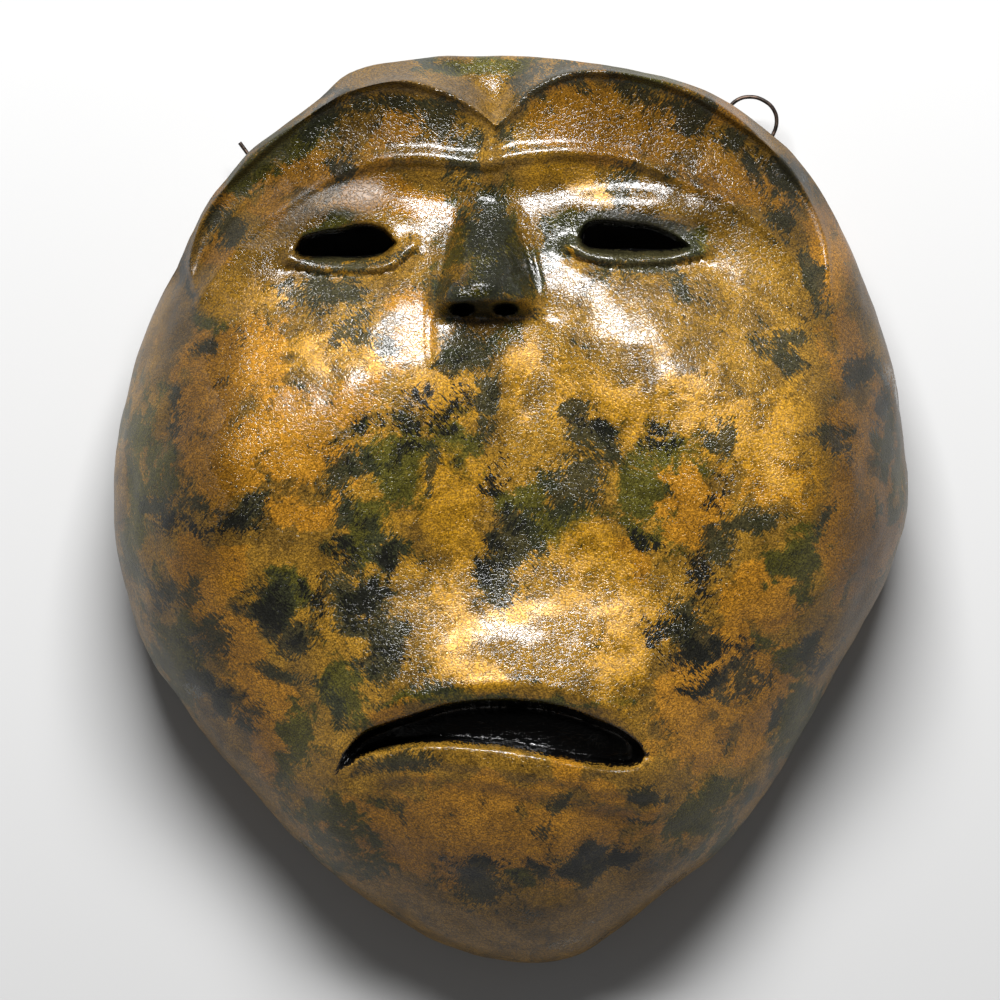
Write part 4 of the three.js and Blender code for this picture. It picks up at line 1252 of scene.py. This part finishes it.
def write_paint(mesh):
    """Stores how heavily each colour lies at each point of the shell."""
    points = get_points(mesh) / MM - (*CENTRE_SHIFT, 0)
    x, y, z = points.T
    places = (x + waves(points, SIDEWAYS_WAVES), y + waves(points, UP_AND_DOWN_WAVES))
    wander = waves(points, WANDER_WAVES)
    amounts = {name: dabbed(*places, dabs) + wander for name, dabs in DABS.items()}
    in_eyes = [inside_eye(eye, x, y) for eye in EYES]
    round_eye = smooth_step(*SLATE_ROUND_EYE, in_eyes[1])
    amounts["slate"] = np.maximum(amounts["slate"], round_eye)
    amounts["speckled"] -= SPECKLE_THINNING
    on_chin = smooth_step(*OCHRE_ON_CHIN, y)
    amounts["ochre"] = OCHRE_LEVEL + waves(points, OCHRE_WAVES) + OCHRE_CHIN_LEVEL * on_chin
    upright = np.where(y > SIDES_MIDDLE[1], SIDES_REACH["up"], SIDES_REACH["down"])
    from_middle = oval(x, y, SIDES_MIDDLE, (SIDES_REACH["across"], upright))
    amounts["dull"] = DULL_LEVEL + waves(points, DULL_WAVES)
    amounts["dull"] += smooth_step(*DULL_SIDES, from_middle) + dabbed(x, y, DULL_DABS)
    # Darker paint, and painted shade where the brows, lids and sides turn from the lamp
    amounts["dark_paint_and_shade"] = dabbed(x, y, DARK_PAINT_AND_SHADE_DABS) + waves(points, DARK_PAINT_AND_SHADE_WAVES)
    amounts["turn"] = TURN_LEVEL + waves(points, TURN_WAVES)
    amounts["black"] = black_paint(x, y, in_eyes)
    for name, amount in amounts.items():
        thinned = np.where(z > THIN_PAINT_BELOW, amount, amount - PAINT_THINNING)
        write_attribute(mesh, name, thinned)


class ClayShellSettings(PropertyGroup):
    """Sizes and colours of the painted clay shell."""

    lump_depth: length_setting(
        "Lump Depth", "How far hand-made lumps stand out of the clay", 0.0005, 0.0, 0.002,
    )
    hole_radius: length_setting(
        "Hole Radius", "Radius of the holes for the wire", 0.00115, 0.0005, 0.003,
    )
    grain_depth: length_setting(
        "Grain Depth", "Depth of the wrinkles and brush marks in the paint", 0.00005, 0.0, 0.001,
    )
    bare_grain_depth: length_setting(
        "Bare Grain Depth", "Depth of the wrinkles in the hollow's clay", 0.0003, 0.0, 0.001,
    )
    stroke_width: FloatProperty(
        name="Stroke Width", description="Width of one brush mark, in millimetres",
        default=0.55, min=0.1, max=5.0,
    )
    wrinkle_size: FloatProperty(
        name="Wrinkle Size", description="Width of the wrinkles in the paint, in millimetres",
        default=1.2, min=0.2, max=10.0,
    )
    gloss_roughness: share_setting(
        "Varnish Roughness", "Roughness where the varnish is glossiest", 0.1,
    )
    dullness: share_setting(
        "Dullness", "Roughness that the dull patches of varnish have on top", 0.3, 0.0, 0.8,
    )
    gold_metallic: share_setting(
        "Gold Metallic", "Share of bronze powder in the gold paint", 0.22,
    )
    brown: colour_setting("Brown", "Thin paint over the clay", 0.118, 0.065, 0.011)
    ochre: colour_setting("Ochre", "Sponged middle tone", 0.195, 0.103, 0.012)
    orange: colour_setting("Orange", "Warm brushed patches", 0.25, 0.113, 0.01)
    gold: colour_setting("Gold", "Brightest brushed patches", 0.31, 0.155, 0.008)
    olive: colour_setting("Olive", "Thin green patches", 0.06, 0.053, 0.009)
    slate: colour_setting("Slate", "Dark ground that shows in patches", 0.024, 0.026, 0.013)
    speckle: colour_setting("Speckle", "Dry dark brushwork over the others", 0.01, 0.01, 0.007)
    # Black paint in the eyes and mouth, and painted shade in the nostrils
    black: colour_setting("Black", "Paint in the eyes, nostrils and mouth", 0.0015, 0.0015, 0.0015)
    clay: colour_setting("Bare Clay", "Fired clay inside the hollow", 0.19, 0.1, 0.055)
    wash: colour_setting("Wash", "Thin dark wash over the bare clay", 0.075, 0.045, 0.028)


class MASK_OT_clay_shell(Operator):
    """Model the hollow clay shell with its brows, eyes, nose and mouth, and paint it"""

    bl_idname = "clay_mask.clay_shell"
    bl_label = "Clay Shell"
    bl_options = {"REGISTER", "UNDO"}

    def execute(self, context):
        settings = context.scene.clay_shell
        bpy.ops.object.select_all(action="DESELECT")
        bpy.ops.mesh.primitive_uv_sphere_add(
            segments=SEGMENTS, ring_count=int(ROW_ENDS[-1]), radius=1.0, location=(0, 0, 0),
        )
        shell = start_piece("clay_shell")
        refine_features(shell)
        mesh = shell.data
        row, direction = rows_and_directions(get_points(mesh))
        set_points(mesh, shell_point(row, direction) * MM)
        write_attribute(mesh, "inside", (row > ROW_ENDS[RIM]).astype(float))
        lump_points(mesh, settings)
        cutters = [add_eye_cutter(eye, index) for index, eye in enumerate(EYES)]
        height = context.scene.hanging_wire.height / MM
        for index, hole in enumerate(WIRE_HOLES):
            cutters.append(add_hole_cutter(index, *hole, settings.hole_radius, height))
        cut_away(shell, cutters)
        write_paint(shell.data)
        shell.data.materials.clear()
        shell.data.materials.append(make_painted_clay(settings))
        shell.data.materials.append(make_bare_clay(settings))
        inside = get_values(shell.data.attributes["inside"].data, "value")
        for face in shell.data.polygons:
            face.material_index = int(min(inside[index] for index in face.vertices) > 0.5)
        select_only(shell)
        bpy.ops.object.shade_smooth_by_angle(angle=SHELL_SMOOTHING)
        finish_piece(shell, "mask_shell", slot="painted_clay")
        return {"FINISHED"}


# The hanging wire
class HangingWireSettings(PropertyGroup):
    """Sizes and colour of the hanging wire."""

    radius: length_setting("Wire Radius", "Half the wire's thickness", 0.00065, 0.0002, 0.003)
    height: length_setting("Wire Height", "Height of the wire above the rim", 0.014, 0.005, 0.025)
    turns: IntProperty(
        name="Turns", description="How often the wire's end is wound round itself",
        default=3, min=1, max=8,
    )
    scale_depth: length_setting("Scale Depth", "Depth of the iron's scale", 0.00006, 0.0, 0.001)
    colour: colour_setting("Colour", "Blackened iron", 0.02, 0.015, 0.012)
    rubbed: colour_setting("Rubbed Colour", "Iron where it is rubbed", 0.09, 0.06, 0.045)


# The wire's course in millimetres: its tail out through the left hole, its span across the
# hollow as (x, y), and its loop through the right holes as (out from the middle, to the side)
TAIL_STEPS = (147.4, 141, 134, 127, 119, 112)
SPAN_PLACES = [(-40, 96.5), (-10, 102.5), (18, 107), (34, 109.2), (50, 111)]
LOOP_STEPS = [
    (128, 9), (134, 8.6), (140, 8.4), (146, 8.6), (151, 7.6), (154.2, 4.4), (155.4, 0.2),
    (154.6, -4), (151.6, -7), (146.5, -8.2), (140, -8.4), (134, -8.6), (128, -8), (123, -3),
]
# The end that is wound round the span: steps in a turn, its gap from the span, where it starts,
# and how much shorter than the span's last stretch it is, in metres
WINDING_STEPS = 16
WINDING_GAP = 0.00035
WINDING_START = 0.001
WINDING_SHORTER = 0.003
# How finely the wire is rounded, and how near, in metres, two corners are one
STEPS_BETWEEN_POINTS = 5
BEVEL_STEPS = 3
SAME_PLACE = 1e-6
WIRE_SMOOTHING = math.radians(50)


def wire_route(settings):
    """Points of the wire: tail, span across the hollow, loop over the edge, and winding."""
    height = settings.height / MM
    up = Vector((0, 0, 1))
    tail = [beside_hole(LEFT_HOLE, out, 0, height) for out in TAIL_STEPS]
    shift_x, shift_y = CENTRE_SHIFT
    span = [Vector((x + shift_x, y + shift_y, height)) * MM for x, y in SPAN_PLACES]
    loop = [beside_hole(RIGHT_HOLES, out, side, height) for out, side in LOOP_STEPS]
    start, end = span[-1], span[-2]
    along = (end - start).normalized()
    across = along.cross(up)
    length = (end - start).length - WINDING_SHORTER
    count = settings.turns * WINDING_STEPS
    radius = 2 * settings.radius + WINDING_GAP
    winding = []
    for step in range(count + 1):
        angle = 2 * math.pi * step / WINDING_STEPS
        middle = start + along * (WINDING_START + step / count * length)
        winding.append(
            middle - across * (radius * math.cos(angle)) + up * (radius * math.sin(angle))
        )
    return tail + span + loop + winding


class MASK_OT_hanging_wire(Operator):
    """Model the iron wire that runs through the shell's holes and is wound round itself"""

    bl_idname = "clay_mask.hanging_wire"
    bl_label = "Hanging Wire"
    bl_options = {"REGISTER", "UNDO"}

    def execute(self, context):
        settings = context.scene.hanging_wire
        route = wire_route(settings)
        bpy.ops.object.select_all(action="DESELECT")
        bpy.ops.curve.primitive_nurbs_path_add(location=(0, 0, 0))
        wire = start_piece("hanging_wire_piece")
        curve = wire.data
        curve.splines.clear()
        spline = curve.splines.new("BEZIER")
        spline.bezier_points.add(len(route) - 1)
        for point, place in zip(spline.bezier_points, route):
            point.co = place
            point.handle_left_type = point.handle_right_type = "AUTO"
        spline.resolution_u = STEPS_BETWEEN_POINTS
        curve.bevel_depth = settings.radius
        curve.bevel_resolution = BEVEL_STEPS
        curve.use_fill_caps = True
        bpy.ops.object.convert(target="MESH")
        wire = start_piece("hanging_wire_piece")
        bpy.ops.object.mode_set(mode="EDIT")
        bpy.ops.mesh.select_all(action="SELECT")
        bpy.ops.mesh.remove_doubles(threshold=SAME_PLACE)
        bpy.ops.mesh.normals_make_consistent(inside=False)
        bpy.ops.object.mode_set(mode="OBJECT")
        wire.data.materials.clear()
        wire.data.materials.append(make_annealed_wire(settings))
        bpy.ops.object.shade_smooth_by_angle(angle=WIRE_SMOOTHING)
        finish_piece(wire, "hanging_wire", slot="annealed_wire")
        return {"FINISHED"}


# The stage
class StageSettings(PropertyGroup):
    """Camera, light and floor of the plain studio."""

    camera_height: length_setting(
        "Camera Height", "Height of the camera above the floor", 6.0, 0.5, 10.0,
    )
    view_width: length_setting(
        "View Width", "Width of the view at half the face's height", 0.32, 0.1, 2.0,
    )
    key_power: FloatProperty(
        name="Key Power", description="Power of the large lamp beyond the crown",
        default=52.0, min=0.0, max=1000.0, subtype="POWER", unit="POWER",
    )
    sky_strength: FloatProperty(
        name="Sky Strength", description="Light from the room all round, near the horizon",
        default=0.4, min=0.0, max=4.0,
    )
    floor_colour: colour_setting("Floor Colour", "Plain pale floor", 0.43, 0.43, 0.43)


# Places and sizes of the stage, in metres
VIEW_MIDDLE = (-0.00352, 0.00352)
HALF_FACE_HEIGHT = 0.05
FLOOR_WIDTH = 6.0
LAMP_PLACE = (0.0, 0.9, 1.12)
LAMP_SIZE = (0.8, 0.38)
SENSOR_WIDTH_IN_MM = 36.0
FARTHEST_VIEW = 20.0
HORIZON_GREY = 1.0
ZENITH_GREY = 0.1


class MASK_OT_stage(Operator):
    """Set the camera, the plain pale floor and the soft studio light"""

    bl_idname = "clay_mask.stage"
    bl_label = "Stage"
    bl_options = {"REGISTER", "UNDO"}

    def execute(self, context):
        settings = context.scene.mask_stage
        self.add_camera(context.scene, settings)
        self.add_floor(settings)
        self.add_key_light(settings)
        self.set_sky(context.scene, settings)
        context.scene.view_settings.view_transform = "Standard"
        context.scene.view_settings.look = "None"
        return {"FINISHED"}

    def add_camera(self, scene, settings):
        place = (*VIEW_MIDDLE, settings.camera_height)
        bpy.ops.object.camera_add(location=place, rotation=(0, 0, 0))
        camera = bpy.context.object
        camera.name = "camera"
        distance = settings.camera_height - HALF_FACE_HEIGHT
        camera.data.sensor_width = SENSOR_WIDTH_IN_MM
        camera.data.lens = SENSOR_WIDTH_IN_MM * distance / settings.view_width
        camera.data.clip_end = FARTHEST_VIEW
        scene.camera = camera

    def add_floor(self, settings):
        bpy.ops.object.select_all(action="DESELECT")
        bpy.ops.mesh.primitive_plane_add(size=FLOOR_WIDTH, location=(0, 0, 0))
        floor = start_piece("floor")
        material, nodes, surface = new_material("pale floor", roughness=0.9, specular=0.1)
        nodes.feed(surface, "Base Color", settings.floor_colour)
        floor.data.materials.append(material)

    def add_key_light(self, settings):
        way = Vector((0, 0, HALF_FACE_HEIGHT)) - Vector(LAMP_PLACE)
        turn = way.to_track_quat("-Z", "Y").to_euler()
        bpy.ops.object.light_add(type="AREA", location=LAMP_PLACE, rotation=turn)
        lamp = bpy.context.object
        lamp.name = "key_lamp"
        lamp.data.shape = "RECTANGLE"
        lamp.data.size, lamp.data.size_y = LAMP_SIZE
        lamp.data.energy = settings.key_power

    def set_sky(self, scene, settings):
        world = bpy.data.worlds.new("studio")
        scene.world = world
        world.use_nodes = True
        nodes = NodeTree(world.node_tree)
        direction = nodes.add("ShaderNodeTexCoord").outputs["Generated"]
        height = nodes.add("ShaderNodeSeparateXYZ", Vector=direction).outputs[2]
        horizon, zenith = ((grey, grey, grey, 1) for grey in (HORIZON_GREY, ZENITH_GREY))
        background = world.node_tree.nodes["Background"]
        nodes.feed(background, "Color", nodes.mix(nodes.ramp(height, 0.35, 0.85), horizon, zenith))
        nodes.feed(background, "Strength", settings.sky_strength)


class MASK_PT_sidebar(Panel):
    """Sidebar tab that lists the mask's pieces and their settings"""

    bl_idname = "MASK_PT_sidebar"
    bl_label = "Clay Mask"
    bl_space_type = "VIEW_3D"
    bl_region_type = "UI"
    bl_category = "Clay Mask"

    def draw(self, context):
        for operator, group in (
            (MASK_OT_stage, context.scene.mask_stage),
            (MASK_OT_hanging_wire, context.scene.hanging_wire),
            (MASK_OT_clay_shell, context.scene.clay_shell),
        ):
            box = self.layout.box()
            for name in group.bl_rna.properties.keys():
                if name not in ("rna_type", "name"):
                    box.prop(group, name)
            box.operator(operator.bl_idname)


CLASSES = (
    ClayShellSettings, HangingWireSettings, StageSettings,
    MASK_OT_clay_shell, MASK_OT_hanging_wire, MASK_OT_stage, MASK_PT_sidebar,
)


def register():
    for item in CLASSES:
        bpy.utils.register_class(item)
    bpy.types.Scene.clay_shell = PointerProperty(type=ClayShellSettings)
    bpy.types.Scene.hanging_wire = PointerProperty(type=HangingWireSettings)
    bpy.types.Scene.mask_stage = PointerProperty(type=StageSettings)


def unregister():
    del bpy.types.Scene.mask_stage
    del bpy.types.Scene.hanging_wire
    del bpy.types.Scene.clay_shell
    for item in reversed(CLASSES):
        bpy.utils.unregister_class(item)


def main():
    register()
    bpy.ops.clay_mask.stage()
    bpy.ops.clay_mask.hanging_wire()
    bpy.ops.clay_mask.clay_shell()


if __name__ == "__main__":
    main()
